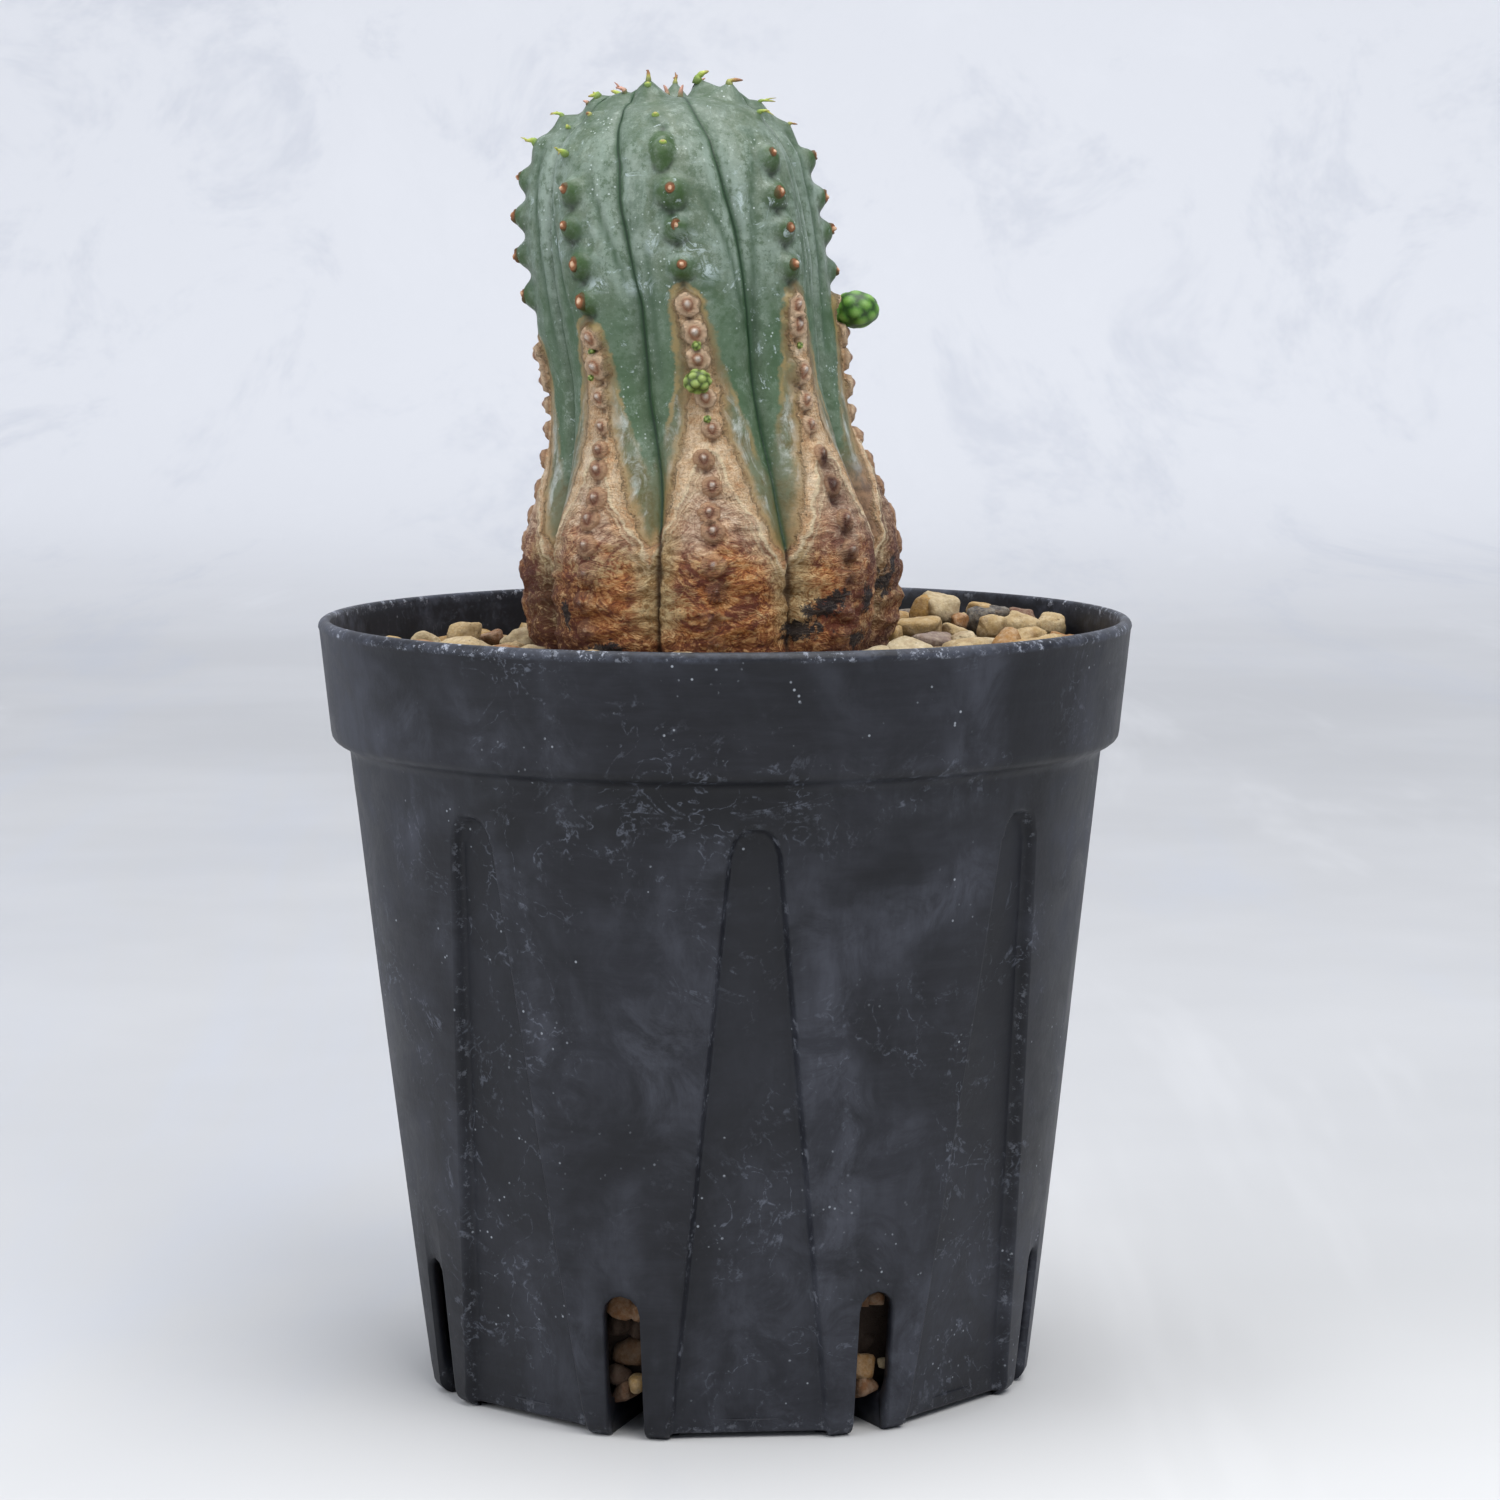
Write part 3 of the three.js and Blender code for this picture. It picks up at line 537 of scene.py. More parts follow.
def inner_cork(s, low_cork):
    """Crinkled bark, browner and rustier at the foot."""
    high_cork = s.colours(s.wrinkle, (0.36, (0.20, 0.095, 0.055)), (0.46, (0.46, 0.29, 0.19)),
                          (0.56, (0.66, 0.48, 0.34)), (0.68, (0.84, 0.70, 0.55)))
    aged = Paint(s, s.mix(s.low, high_cork, low_cork))
    stripes = s.mix(s.ramp(s.wave(s.inner, 17.0, 11.0), -1.0, 1.0), (0.42, 0.25, 0.115), (0.76, 0.58, 0.35))
    aged.coat(stripes, (s.inner, 3.0, 0.4), (s.z, 72, 75),
              (s.noise(2.0, 3), 0.35, 0.6, 0.3, 1.0), 0.6)
    aged.coat((0.55, 0.43, 0.22), (s.noise(6, 3, 0.6, 0.6), 0.5, 0.62), (s.z, 68.5, 71),
              (s.z, 80, 76), (s.wrinkle, 0.4, 0.55), 0.6)
    sandy = s.mix(s.ramp(s.wrinkle, 0.4, 0.6), (0.34, 0.22, 0.08), (0.66, 0.54, 0.30))
    aged.coat(sandy, (s.groove, 0.9, 3.2, 1.0, 0.0), (s.z, 68.5, 71.5), (s.z, 81, 77), 0.75)
    aged.coat((0.15, 0.034, 0.018), (s.noise(5.0, 5, 0.7, 1.2), 0.48, 0.58), (s.z, 82, 76),
              (s.groove, 1.2, 2.6), (s.wrinkle, 0.64, 0.5, 0.45, 0.9))
    # Darkest at the very foot: dark red-brown bark, deepened by painted shade where the stem meets the grains
    aged.coat((0.07, 0.015, 0.007), (s.z, 71, 67.5), (s.wrinkle, 0.62, 0.48, 0.15, 0.9))
    return aged


def bead_colour(s):
    """A tan plate, brown towards the middle, with a pale glossy tip that is partly a painted highlight; darker
    on the old beads lower down.
    """
    young = s.colours(s.bead, (0.05, (0.26, 0.13, 0.055)), (0.26, (0.76, 0.56, 0.37)),
                      (0.55, (0.33, 0.135, 0.065)), (0.78, (0.58, 0.39, 0.28)), (1.0, (0.86, 0.76, 0.68)))
    old = s.colours(s.bead, (0.05, (0.30, 0.14, 0.06)), (0.26, (0.50, 0.30, 0.17)),
                    (0.55, (0.19, 0.06, 0.03)), (0.78, (0.46, 0.29, 0.20)), (1.0, (0.80, 0.70, 0.62)))
    return s.mix(s.ramp(s.z, 90, 86), young, old)


def bark_paint(s):
    """The outer and inner cork, weathered, with pale rims, beads, charred spots, and painted shade in its
    grooves, creases and pits.
    """
    low_cork = s.colours(s.wrinkle, (0.34, (0.085, 0.018, 0.007)), (0.45, (0.38, 0.115, 0.028)),
                         (0.55, (0.68, 0.33, 0.115)), (0.68, (0.90, 0.62, 0.33)))
    is_inner = s.ramp(s.inner, -0.15, 0.25)
    bark = Paint(s, s.mix(is_inner, outer_cork(s, low_cork).colour, inner_cork(s, low_cork).colour))
    weathered = s.mix(s.ramp(s.wrinkle, 0.44, 0.70), (0.085, 0.024, 0.013), (0.44, 0.28, 0.18))
    bark.coat(weathered, s.weather, (s.wander, 0.35, 0.6, 0.45, 0.9), is_inner)
    bark.coat((0.085, 0.020, 0.009), s.attribute("dark_side"), (s.wrinkle, 0.66, 0.5, 0.25, 0.85))
    # Painted shade in the foot's creases
    bark.coat((0.06, 0.016, 0.007), s.fold, (s.z, 80, 76), 0.75)
    # Two pale rims along the inner cork's edge, and painted shade in the groove
    rims = s.math("MAXIMUM", s.line(s.plus(s.inner, -0.1), 0.05, 0.3),
                  s.both(s.line(s.plus(s.inner, -0.75), 0.05, 0.22), 0.5))
    bark.coat((0.84, 0.70, 0.46), rims, (s.z, 71, 78, 0.1, 1.0),
              (s.noise(1.4, 4, 0.7), 0.36, 0.56, 0.3, 1.0), 0.85)
    bark.coat((0.045, 0.018, 0.006), (s.groove, 0.08, 0.5, 0.85, 0.0))
    bark.coat(bead_colour(s), (s.bead, 0.02, 0.14), (s.z, 74, 80, 0.2, 0.92))
    # Painted shade in the pits
    bark.coat((0.05, 0.012, 0.008), s.pit, (s.z, 72, 78, 0.5, 0.92))
    burnt = s.plus(s.attribute("char"), s.both(s.centred(s.noise(1.0, 6, 0.8, 0.8)), 3.4))
    charred = s.mix(s.ramp(s.wrinkle, 0.48, 0.6), (0.010, 0.009, 0.011), (0.07, 0.06, 0.058))
    bark.coat(charred, (burnt, 0.5, 0.62), 0.95)
    return bark


def stem_material():
    s = StemShader()
    is_cork = s.ramp(s.cork, -0.4, 0.3)
    colour = s.mix(is_cork, aged_skin(s).colour, bark_paint(s).colour)
    glaze = s.ramp(s.granules, 0.3, 0.7, 0.34, 0.5)
    dull = s.ramp(s.bead, 0.1, 0.6, 0.66, 0.3)
    roughness = s.plus(s.both(glaze, s.math("SUBTRACT", 1.0, is_cork)), s.both(is_cork, dull))
    ridges = s.both(s.plus(s.both(s.wrinkle, 1.4), s.both(s.across, 0.3)), is_cork)
    fine = s.bump(s.noise(0.3, 3, 0.65), 0.05)
    return s.finish(colour, roughness, s.bump(ridges, 0.5, s.bump(s.both(s.lines, is_cork), 0.06, fine)))


def growth_material(name, roughness, wavelength, *stops):
    """Stalks, nubs and buds: a colour band along the piece, broken up by noise."""
    s = Shader(name, IOR=1.45)
    broken = s.plus(s.attribute("along"), s.both(s.centred(s.noise(wavelength, 4, 0.65)), 0.5))
    paint = Paint(s, s.colours(broken, *stops))
    paint.stain((0.04, 0.05, 0.015), 0.55, (s.noise(wavelength * 0.5, 3, 0.7), 0.4, 0.7), 0.35)
    return s.finish(paint.colour, roughness, s.bump(s.noise(0.25, 3, 0.65), 0.04))


# ---- The pot: an outer and an inner sheet with the same rows and columns ----

WALL_SLOPE = (WALL_TOP_RADIUS - WALL_FOOT_RADIUS) / WALL_TOP_Z
BAND_SLOPE = (RIM_RADIUS - BAND_FOOT_RADIUS) / (POT_HEIGHT - BAND_FOOT_Z)
SLIT_HALF = SLIT_WIDTH / 2
SPRING_Z = SLIT_TOP_Z - SLIT_HALF  # a slit's round top springs from this height
SECTOR = math.radians(360 / PANELS)
HALF_SECTOR = SECTOR / 2

# Lines of a half sector, from the panel's middle to the slit's middle, in four families
PANEL_LINES = [0.0, 0.35, 0.7]  # shares of the panel's half width
STEP_LINES = [-0.25, -0.1, 0.03, 0.14, 0.25, 0.36, 0.5, 0.68]  # mm outside the panel's outline
PILLAR_LINES = [0.12, 0.25, 0.38, 0.5, 0.62, 0.75, 0.88]  # shares of what is left between
SLIT_LINES = [SLIT_HALF + 0.3, SLIT_HALF + 0.1, SLIT_HALF, SLIT_HALF * 0.87, SLIT_HALF * 0.5, 0.0]  # mm
LINES = len(PANEL_LINES) + len(STEP_LINES) + len(PILLAR_LINES) + len(SLIT_LINES)
STEP_LAST = len(PANEL_LINES) + len(STEP_LINES) - 1
SLIT_FIRST = LINES - len(SLIT_LINES)
SLIT_EDGE = SLIT_FIRST + SLIT_LINES.index(SLIT_HALF)

SECTOR_COLUMNS = 2 * (LINES - 1)
COLUMNS = SECTOR_COLUMNS * PANELS
PLACES = np.arange(COLUMNS) % SECTOR_COLUMNS  # the place of each column in its sector
COLUMN_LINES = np.minimum(PLACES, SECTOR_COLUMNS - PLACES)  # and the line of half a sector that it follows
ZEROS = np.zeros(COLUMNS)

# Heights and radii of the rows
FLOOR_RADII = [3, 6, 8, 9.5, 12.5, 15.5, 17, 18.3, SLIT_INNER, 20, 22, 24, 25.8]
LOW_WALL = [2.4, 3.6, 5, 6.5, 8, 9.3, 10.4, SPRING_Z, 12.4, 13.6, 15.2, 17.5, 20.5,
            *range(24, 45, 4), 47.5, 50]
HIGH_WALL = list(np.arange(51.2, 56.3, 0.3)) + [57, 57.8, 58.4]
BAND_ROWS = [61.5, 63, 65, 67, 68.8, 69.7]
CORNER = BAND_FOOT_RADIUS - BAND_CORNER
STEP_ROWS = [  # the step below the band: radius and height
    (WALL_TOP_RADIUS + 0.05, 58.75), (WALL_TOP_RADIUS + 0.3, 59.0), (CORNER - 0.2, 59.3),
    (CORNER + 0.2, 59.43), (CORNER + 0.55, 59.7), (CORNER + 0.74, 60.0), (CORNER + 0.82, 60.4),
]
SMALL_ROUND = 0.35  # of the wall's lower edge between the toes
INNER_FOOT = 0.4  # the inner wall starts this far inside its foot


def panel_half(z):
    return ARCH_HALF + (FOOT_HALF - ARCH_HALF) * np.clip((ARCH_TOP_Z - z) / ARCH_TOP_Z, 0.02, 1.05)


def half_sector_angles(radius, z):
    """Angles from the panel's middle of the lines of half a sector, at a radius and height."""
    half = panel_half(z)
    panel = [math.asin(min(1, share * half / radius)) for share in PANEL_LINES]
    step = [math.asin(min(1, (half + out) / radius)) for out in STEP_LINES]
    slit = [HALF_SECTOR - math.asin(min(1, out / radius)) for out in SLIT_LINES]
    pillar = [step[-1] + share * (slit[0] - step[-1]) for share in PILLAR_LINES]
    return np.array(panel + step + pillar + slit)


def all_columns(line_angles):
    """Angles round the pot from the first panel's middle, for all columns, from half a sector's angles."""
    angles = line_angles[COLUMN_LINES]
    mirrored = np.where(PLACES >= LINES, SECTOR - angles, angles)
    return mirrored + SECTOR * (np.arange(COLUMNS) // SECTOR_COLUMNS)


def ring_angles(radius, z):
    return all_columns(half_sector_angles(max(radius, SLIT_INNER), z))


def bar_angles(radius):
    """Angles of the floor's columns, with the bars beside each slit running straight in from the wall."""
    reach = max(radius, SLIT_INNER)
    lines = half_sector_angles(reach, 0)
    bar_edge = HALF_SECTOR - math.asin((SLIT_HALF + BAR_WIDTH) / reach)
    beside_bar = bar_edge - 0.22 / reach
    target = lines.copy()
    target[STEP_LAST + 1:SLIT_FIRST] = np.linspace(bar_edge, lines[SLIT_FIRST], len(PILLAR_LINES) + 1)[:-1]
    target[:STEP_LAST + 1] = lines[:STEP_LAST + 1] * min(1.0, beside_bar / lines[STEP_LAST])
    return all_columns(target)


def cone(z):
    return WALL_FOOT_RADIUS + WALL_SLOPE * z


def outside_radius(angles, z):
    """The outer wall's radius at angles from a panel's middle, and the share of the flat panel in it."""
    around = np.abs((angles + HALF_SECTOR) % SECTOR - HALF_SECTOR)
    plain = cone(z)
    across = plain * np.sin(around)
    arch_middle = ARCH_TOP_Z - ARCH_HALF
    if z < arch_middle:
        outside = across - panel_half(z)
    else:
        outside = np.hypot(across, z - arch_middle) - ARCH_HALF
    share = 1 - smooth(outside, -0.1, 0.5)
    flat = (PANEL_DISTANCE + PANEL_SLOPE * z) / np.cos(around)
    return plain - share * np.maximum(plain - flat, 0), share


def pot_rows():
    """Every row from the floor's middle to the lip: outer radius, outer z, inner radius, inner z and kind.

    A toe's row has its share of the way round the toe's corner in place of the outer z.
    """
    foot = cone(0)
    rows = []
    for radius in FLOOR_RADII + [foot - WALL - 0.75, foot - WALL - 0.35]:
        rise = DOME_RISE * (1 - smooth(radius, DOME_TOP - 1.5, DOME_FOOT + 1.2))
        rows.append((radius, FLOOR_UNDER_Z + rise, radius * 0.985, FLOOR_TOP_Z + rise, "floor"))
    rows.append((foot - WALL - 0.2, 0, foot - WALL - 0.55, FLOOR_TOP_Z, "rim"))
    rows += [(foot, step / 5, foot - WALL, FLOOR_TOP_Z + 0.08 * step, "toe") for step in range(6)]
    rows += [(cone(z), z, cone(z) - WALL, max(z, FLOOR_TOP_Z + 0.4 + 0.25 * z), "wall") for z in LOW_WALL]
    rows += [(cone(z), z, cone(z) - WALL, z, "wall") for z in HIGH_WALL]
    rows += [(radius, z, radius - WALL, z + 1.0, "band") for radius, z in STEP_ROWS]
    for z in BAND_ROWS:
        radius = BAND_FOOT_RADIUS + BAND_SLOPE * (z - BAND_FOOT_Z)
        rows.append((radius, z, radius - WALL, z + (66 - z) * 0.18 if z < 66 else z, "band"))
    inner_round = WALL - LIP_ROUND
    for angle in np.radians([0, 20, 40, 60, 76, 90]):
        inwards, down = 1 - np.cos(angle), 1 - np.sin(angle)
        rows.append((RIM_RADIUS - LIP_ROUND * inwards, POT_HEIGHT - LIP_ROUND * down,
                     RIM_RADIUS - WALL + inner_round * inwards, POT_HEIGHT - inner_round * down, "lip"))
    return rows


# Each of these gives the outer and the inner row as (radius, angle, z), the wear and the share of the panel

def floor_row(radius, z, inner_radius, inner_z):
    turn = bar_angles(radius) if radius < cone(0) - WALL - 1 else ring_angles(radius, 0)
    on_bar = (COLUMN_LINES > STEP_LAST) & (radius > SLIT_INNER - 0.01)
    outer = (radius + ZEROS, turn, np.where(on_bar, 0, z))
    return outer, (inner_radius + ZEROS, turn, inner_z + ZEROS), ZEROS, ZEROS


def foot_row(radius, corner_share, inner_z, kind):
    turn = ring_angles(radius, 0)
    wall, _ = outside_radius(turn, 0.0)
    on_leg = COLUMN_LINES > STEP_LAST - 3
    bottom = np.where(on_leg, 0, TOE_RISE)
    if kind == "rim":
        outer = (wall - WALL + 0.1, turn, bottom)
    else:
        angle = math.pi / 2 * corner_share
        size = np.where(on_leg, TOE_ROUND, SMALL_ROUND)
        rounded = wall + WALL_SLOPE * size - size * (1 - math.sin(angle))
        outer = (rounded, turn, bottom + size * (1 - math.cos(angle)))
    inner = (wall - WALL - INNER_FOOT + inner_z - FLOOR_TOP_Z, turn, inner_z + ZEROS)
    return outer, inner, ZEROS + (0.8 if kind == "toe" else 0.0), ZEROS


def wall_row(radius, z, inner_radius, inner_z, kind):
    turn = ring_angles(radius, min(z, 56))
    wall, inside, share = radius + ZEROS, inner_radius + ZEROS, ZEROS
    if kind == "wall":
        wall, share = outside_radius(turn, z)
        inside = wall - WALL
    lift = ZEROS
    if z >= SPRING_Z - 0.01:  # the columns over a slit are lifted by its round top
        round_top = np.zeros(LINES)
        round_top[SLIT_FIRST:] = np.sqrt(np.maximum(SLIT_HALF**2 - np.array(SLIT_LINES) ** 2, 0))
        lift = round_top[COLUMN_LINES] * np.clip(1 - (z - SPRING_Z) / 5, 0, 1)
    return (wall, turn, z + lift), (inside, turn, inner_z + lift), 4 * share * (1 - share), share


def pot_sheets(rows):
    """Points of the outer and the inner sheet, and the wear and panel share of the outer one."""
    made = []
    for radius, z, inner_radius, inner_z, kind in rows:
        if kind == "floor":
            made.append(floor_row(radius, z, inner_radius, inner_z))
        elif kind in ("rim", "toe"):
            made.append(foot_row(radius, z, inner_z, kind))
        else:
            made.append(wall_row(radius, z, inner_radius, inner_z, kind))
    outer, inner, wear, panel = zip(*made)
    return placed(outer), placed(inner), np.array(wear), np.array(panel)


def placed(sheet):
    radius, turn, z = (np.array([row[i] for row in sheet]) for i in range(3))
    turn = turn + math.radians(FIRST_PANEL)
    return np.stack([radius * np.sin(turn), -radius * np.cos(turn), z], axis=-1)


def warped(outer, inner):
    """The sheets bent out and in a little, more above the foot, as a thin moulded wall is."""
    warp = noise(outer, 23, seed=5)[..., None] * 0.07
    out = outer / np.maximum(np.linalg.norm(outer[..., :2], axis=-1, keepdims=True), 1)
    out[..., 2] = 0
    shift = out * warp * smooth(outer[..., 2:], 2, 12)
    return outer + shift, inner + shift


def slit_walls(in_slit, slit_first, slit_last, inner_index):
    """The faces that join the sheets round each slit."""
    faces = []
    for column in range(COLUMNS):
        after = (column + 1) % COLUMNS
        if in_slit[column]:
            for row, turned in ((slit_first, False), (slit_last, True)):
                a, b = row * COLUMNS + column, row * COLUMNS + after
                face = (a, b, inner_index(b), inner_index(a))
                faces.append(face[::-1] if turned else face)
        if in_slit[column] != in_slit[column - 1]:
            for row in range(slit_first, slit_last):
                a, b = row * COLUMNS + column, (row + 1) * COLUMNS + column
                face = (a, b, inner_index(b), inner_index(a))
                faces.append(face if in_slit[column - 1] else face[::-1])
    return faces


def build_pot():
    rows = pot_rows()
    outer, inner, wear, panel = pot_sheets(rows)
    outer, inner = warped(outer, inner)
    count = len(rows)
    start = count * COLUMNS  # the inner sheet's points follow the outer one's, but for the lip's last row
    slit_first = next(i for i, row in enumerate(rows) if row[0] == SLIT_INNER)
    slit_last = next(i for i, row in enumerate(rows) if row[1] == SPRING_Z)
    in_slit = np.minimum(COLUMN_LINES, np.roll(COLUMN_LINES, -1)) >= SLIT_EDGE

    def open_cell(row, column):
        return slit_first <= row < slit_last and in_slit[column]

    def inner_index(i):
        return i if i >= start - COLUMNS else i + start

    middles = [[0, 0, FLOOR_UNDER_Z + DOME_RISE], [0, 0, FLOOR_TOP_Z + DOME_RISE]]
    points = np.concatenate([outer.reshape(-1, 3), inner[:-1].reshape(-1, 3), middles])
    faces = grid_faces(count, COLUMNS, open_cell)
    inside = grid_faces(count, COLUMNS, open_cell, flip=True)
    faces += [tuple(inner_index(i) for i in face) for face in inside]
    faces += slit_walls(in_slit, slit_first, slit_last, inner_index)
    under, over = len(points) - 2, len(points) - 1
    faces += fan(under, 0, COLUMNS) + fan(over, start, COLUMNS, flip=True)
    lip = np.repeat([float(row[4] == "lip") for row in rows], COLUMNS)
    unworn = np.zeros(len(points) - start)
    piece("pot_shell", points, [face[::-1] for face in faces], pot_material(), "pot_plastic", ["pot"],
          edge=np.append(wear, unworn), lip=np.concatenate([lip, lip[:-COLUMNS], [0, 0]]),
          inside=np.concatenate([np.zeros(start), unworn[:-2] + 1, [0, 1]]), panel=np.append(panel, unworn))


# ---- The stem: places round it are counted in ribs, with the crests on the whole numbers ----

# Where crests and grooves stray from their even places: height and share of a rib
CREST_SHIFT = {
    0: [(86, 0), (89, 0.04), (92, 0.05), (96, 0.03), (100, 0), (111, 0), (114, -0.06), (116.2, -0.17),
        (117.8, -0.3)],
    1: [(99, 0), (103, 0.075), (106.5, 0.1), (110, 0.125), (113.3, 0.2), (116.3, 0.3)],
    7: [(96.6, 0), (99.8, -0.05), (103.2, -0.1), (106.5, -0.125), (109.7, -0.175), (113.4, -0.3)],
}
GROOVE_SHIFT = {
    0: [(75, 0.05), (79, 0.025), (91, 0.025), (100, 0.05), (106, 0.05), (114, -0.025), (117.3, -0.15)],
    1: [(100, 0), (104, 0.05), (115, 0.08)],
    7: [(82, 0.07), (91, 0), (99.8, 0.05), (108, -0.05), (112, -0.05), (114, -0.12), (116.5, -0.25),
        (117.7, -0.35)],
}
SOFT_CREASES = [  # rows of height and place, then depth and width in mm
    ([(101.6, -0.57), (104.3, -0.65), (106.2, -0.72), (108.3, -0.77), (110.7, -0.87)], 0.22, 0.45),
    ([(98.0, 0.50), (103.2, 0.45), (105.8, 0.40), (107.5, 0.33), (109.2, 0.27)], 0.10, 0.5),
    ([(96.0, 0.57), (99.8, 0.60), (104.3, 0.66), (108.8, 0.74), (111.9, 0.84), (114.1, 0.97)], 0.20, 0.45),
    ([(96.0, 1.62), (103.3, 1.68), (107, 1.73), (110.6, 1.75), (114.2, 1.85)], 0.22, 0.5),
    ([(94.0, 1.33), (100, 1.34), (106, 1.36), (112, 1.4)], 0.20, 0.45),
    ([(97.0, 1.22), (103, 1.24), (109, 1.3)], 0.12, 0.35),
    ([(98.0, -1.2), (103, -1.28), (110, -1.42)], 0.2, 0.5),
    ([(95.0, -1.62), (103, -1.66), (112, -1.75)], 0.22, 0.5),
    ([(93.0, -0.35), (99, -0.33), (104, -0.3)], 0.1, 0.6),
    ([(95.0, 2.4), (104, 2.35), (112, 2.3)], 0.2, 0.5),
    ([(95.0, 3.6), (104, 3.66), (112, 3.7)], 0.2, 0.5),
    ([(95.0, 4.3), (104, 4.35), (112, 4.4)], 0.2, 0.5),
    ([(95.0, 5.35), (104, 5.3), (112, 5.2)], 0.2, 0.5),
]
# Half the width of the cork on a rib over the height, and of the older cork inside it
OUTER_CORK = [(60, 9), (77.1, 7), (78.4, 5.5), (80.8, 4.5), (82.9, 3.4), (85.3, 2.7), (87.7, 1.9), (90, 1.4),
              (94.9, 1.1), (96.9, 1.2), (99.9, 1.05), (100.7, 0), (101.7, -1.4), (108, -9)]
INNER_CORK = [(60, 9), (74.3, 8), (76, 6.6), (78.4, 5.1), (80.8, 3.7), (82.9, 2.2), (85.3, 1.3), (87.1, 0),
              (88.5, -1.4), (96, -9)]
# Half the width of the olive skin beside it
OLIVE = [(60, 9), (78, 9), (80.8, 7.8), (82.9, 6.4), (85.3, 5.2), (87.7, 4.1), (90, 3.2), (92, 2.5),
         (95, 2.0), (99.6, 1.45), (100.8, 1.0), (101.4, 0.2), (102.2, -1.5), (110, -9)]
CORK_TIP_SHIFT = [0, 0, -0.4, -3, 1, -2, -5, -3.3]  # mm that each rib's cork reaches higher
KNOB_SHIFT = {  # green knobs stand beside the crest line there, in shares of a rib
    1: [(103, -0.08), (106.3, -0.085), (109.4, -0.12), (112.6, -0.14)],
    7: [(99.8, 0.07), (103.1, 0.12), (106.4, 0.05), (109.6, 0.12)],
}
BEAD_SHIFT = {1: -0.4, 7: 0.4}  # mm round the stem
KNOB_ROWS = {  # heights on each rib that were read off the photo: green knobs, then beads
    0: ([113.2, 109.5, 106.4, 102.9],
        [99.5, 97.0, 94.6, 91.2, 88.4, 85.7, 83.3, 81.0, 79.4, 76.4, 74.1, 71.6]),
    1: ([112.6, 109.4, 106.3, 102.9], [99.4, 97.6, 93.4, 90.8, 88.6, 85.9, 83.2, 80.1, 77.4, 74.8]),
    2: ([112.4, 109, 105.9, 102.4], []),
    6: ([110.5, 107.3, 103.8, 100.2], []),
    7: ([109.6, 106.4, 103.1, 99.8], [96.5, 93.9, 91.1, 88.5, 86.4, 84.6, 82.0, 80.2, 77.9, 75.4]),
}
ROOT_TOP_Z, ROOT_ROWS, SKIN_ROWS, RIB_COLUMNS = 62.0, 12, 292, 36  # the skin's grid
OUTLINE_STEPS = 6000  # of the fine outline that lengths are measured on
EVEN_LINE = [(0, 0)]  # a table for what does not stray


LARGE_KNOBS = {(0, 113.2): 1.15, (0, 109.5): 1.1}  # rib and height: size
BEAD_SIZES = [(70, 0.95), (78, 0.98), (82, 0.98), (86, 0.82), (89, 0.86), (91, 1.0), (93, 1.15), (98, 1.1)]


def outline_at(share):
    """The crest's radius and height at a share 0..1 of the outline, by a centripetal Catmull-Rom curve."""
    rows = np.array(STEM_OUTLINE, float)
    rows = np.concatenate([[2 * rows[0] - rows[1]], rows, [2 * rows[-1] - rows[-2]]])
    place = np.clip(share, 0, 1) * (len(STEM_OUTLINE) - 1)
    span = np.minimum(place.astype(int), len(STEM_OUTLINE) - 2)
    w = (place - span)[:, None]
    p0, p1, p2, p3 = (rows[span + k] for k in range(4))
    d0, d1, d2 = (np.sqrt(np.linalg.norm(b - a, axis=1))[:, None] for a, b in ((p0, p1), (p1, p2), (p2, p3)))
    m1 = ((p1 - p0) / d0 - (p2 - p0) / (d0 + d1) + (p2 - p1) / d1) * d1
    m2 = ((p2 - p1) / d1 - (p3 - p1) / (d1 + d2) + (p3 - p2) / d2) * d1
    return (p1 + m1 * w + (-3 * p1 + 3 * p2 - 2 * m1 - m2) * w**2 + (2 * p1 - 2 * p2 + m1 + m2) * w**3).T


def azimuth_of(place, z):
    turns = np.floor(np.asarray(place) / 8)
    crests = np.interp(place - 8 * turns, np.arange(9), RIBS + [RIBS[0] + 360])
    return crests + 360 * turns + look_up(RIB_DRIFT, z)


def crest_place(rib, z):
    return rib + look_up(CREST_SHIFT.get(rib, EVEN_LINE), z)


def groove_place(rib, z):
    """The place of the groove after a rib."""
    return rib + 0.5 + look_up(GROOVE_SHIFT.get(rib, EVEN_LINE), z)


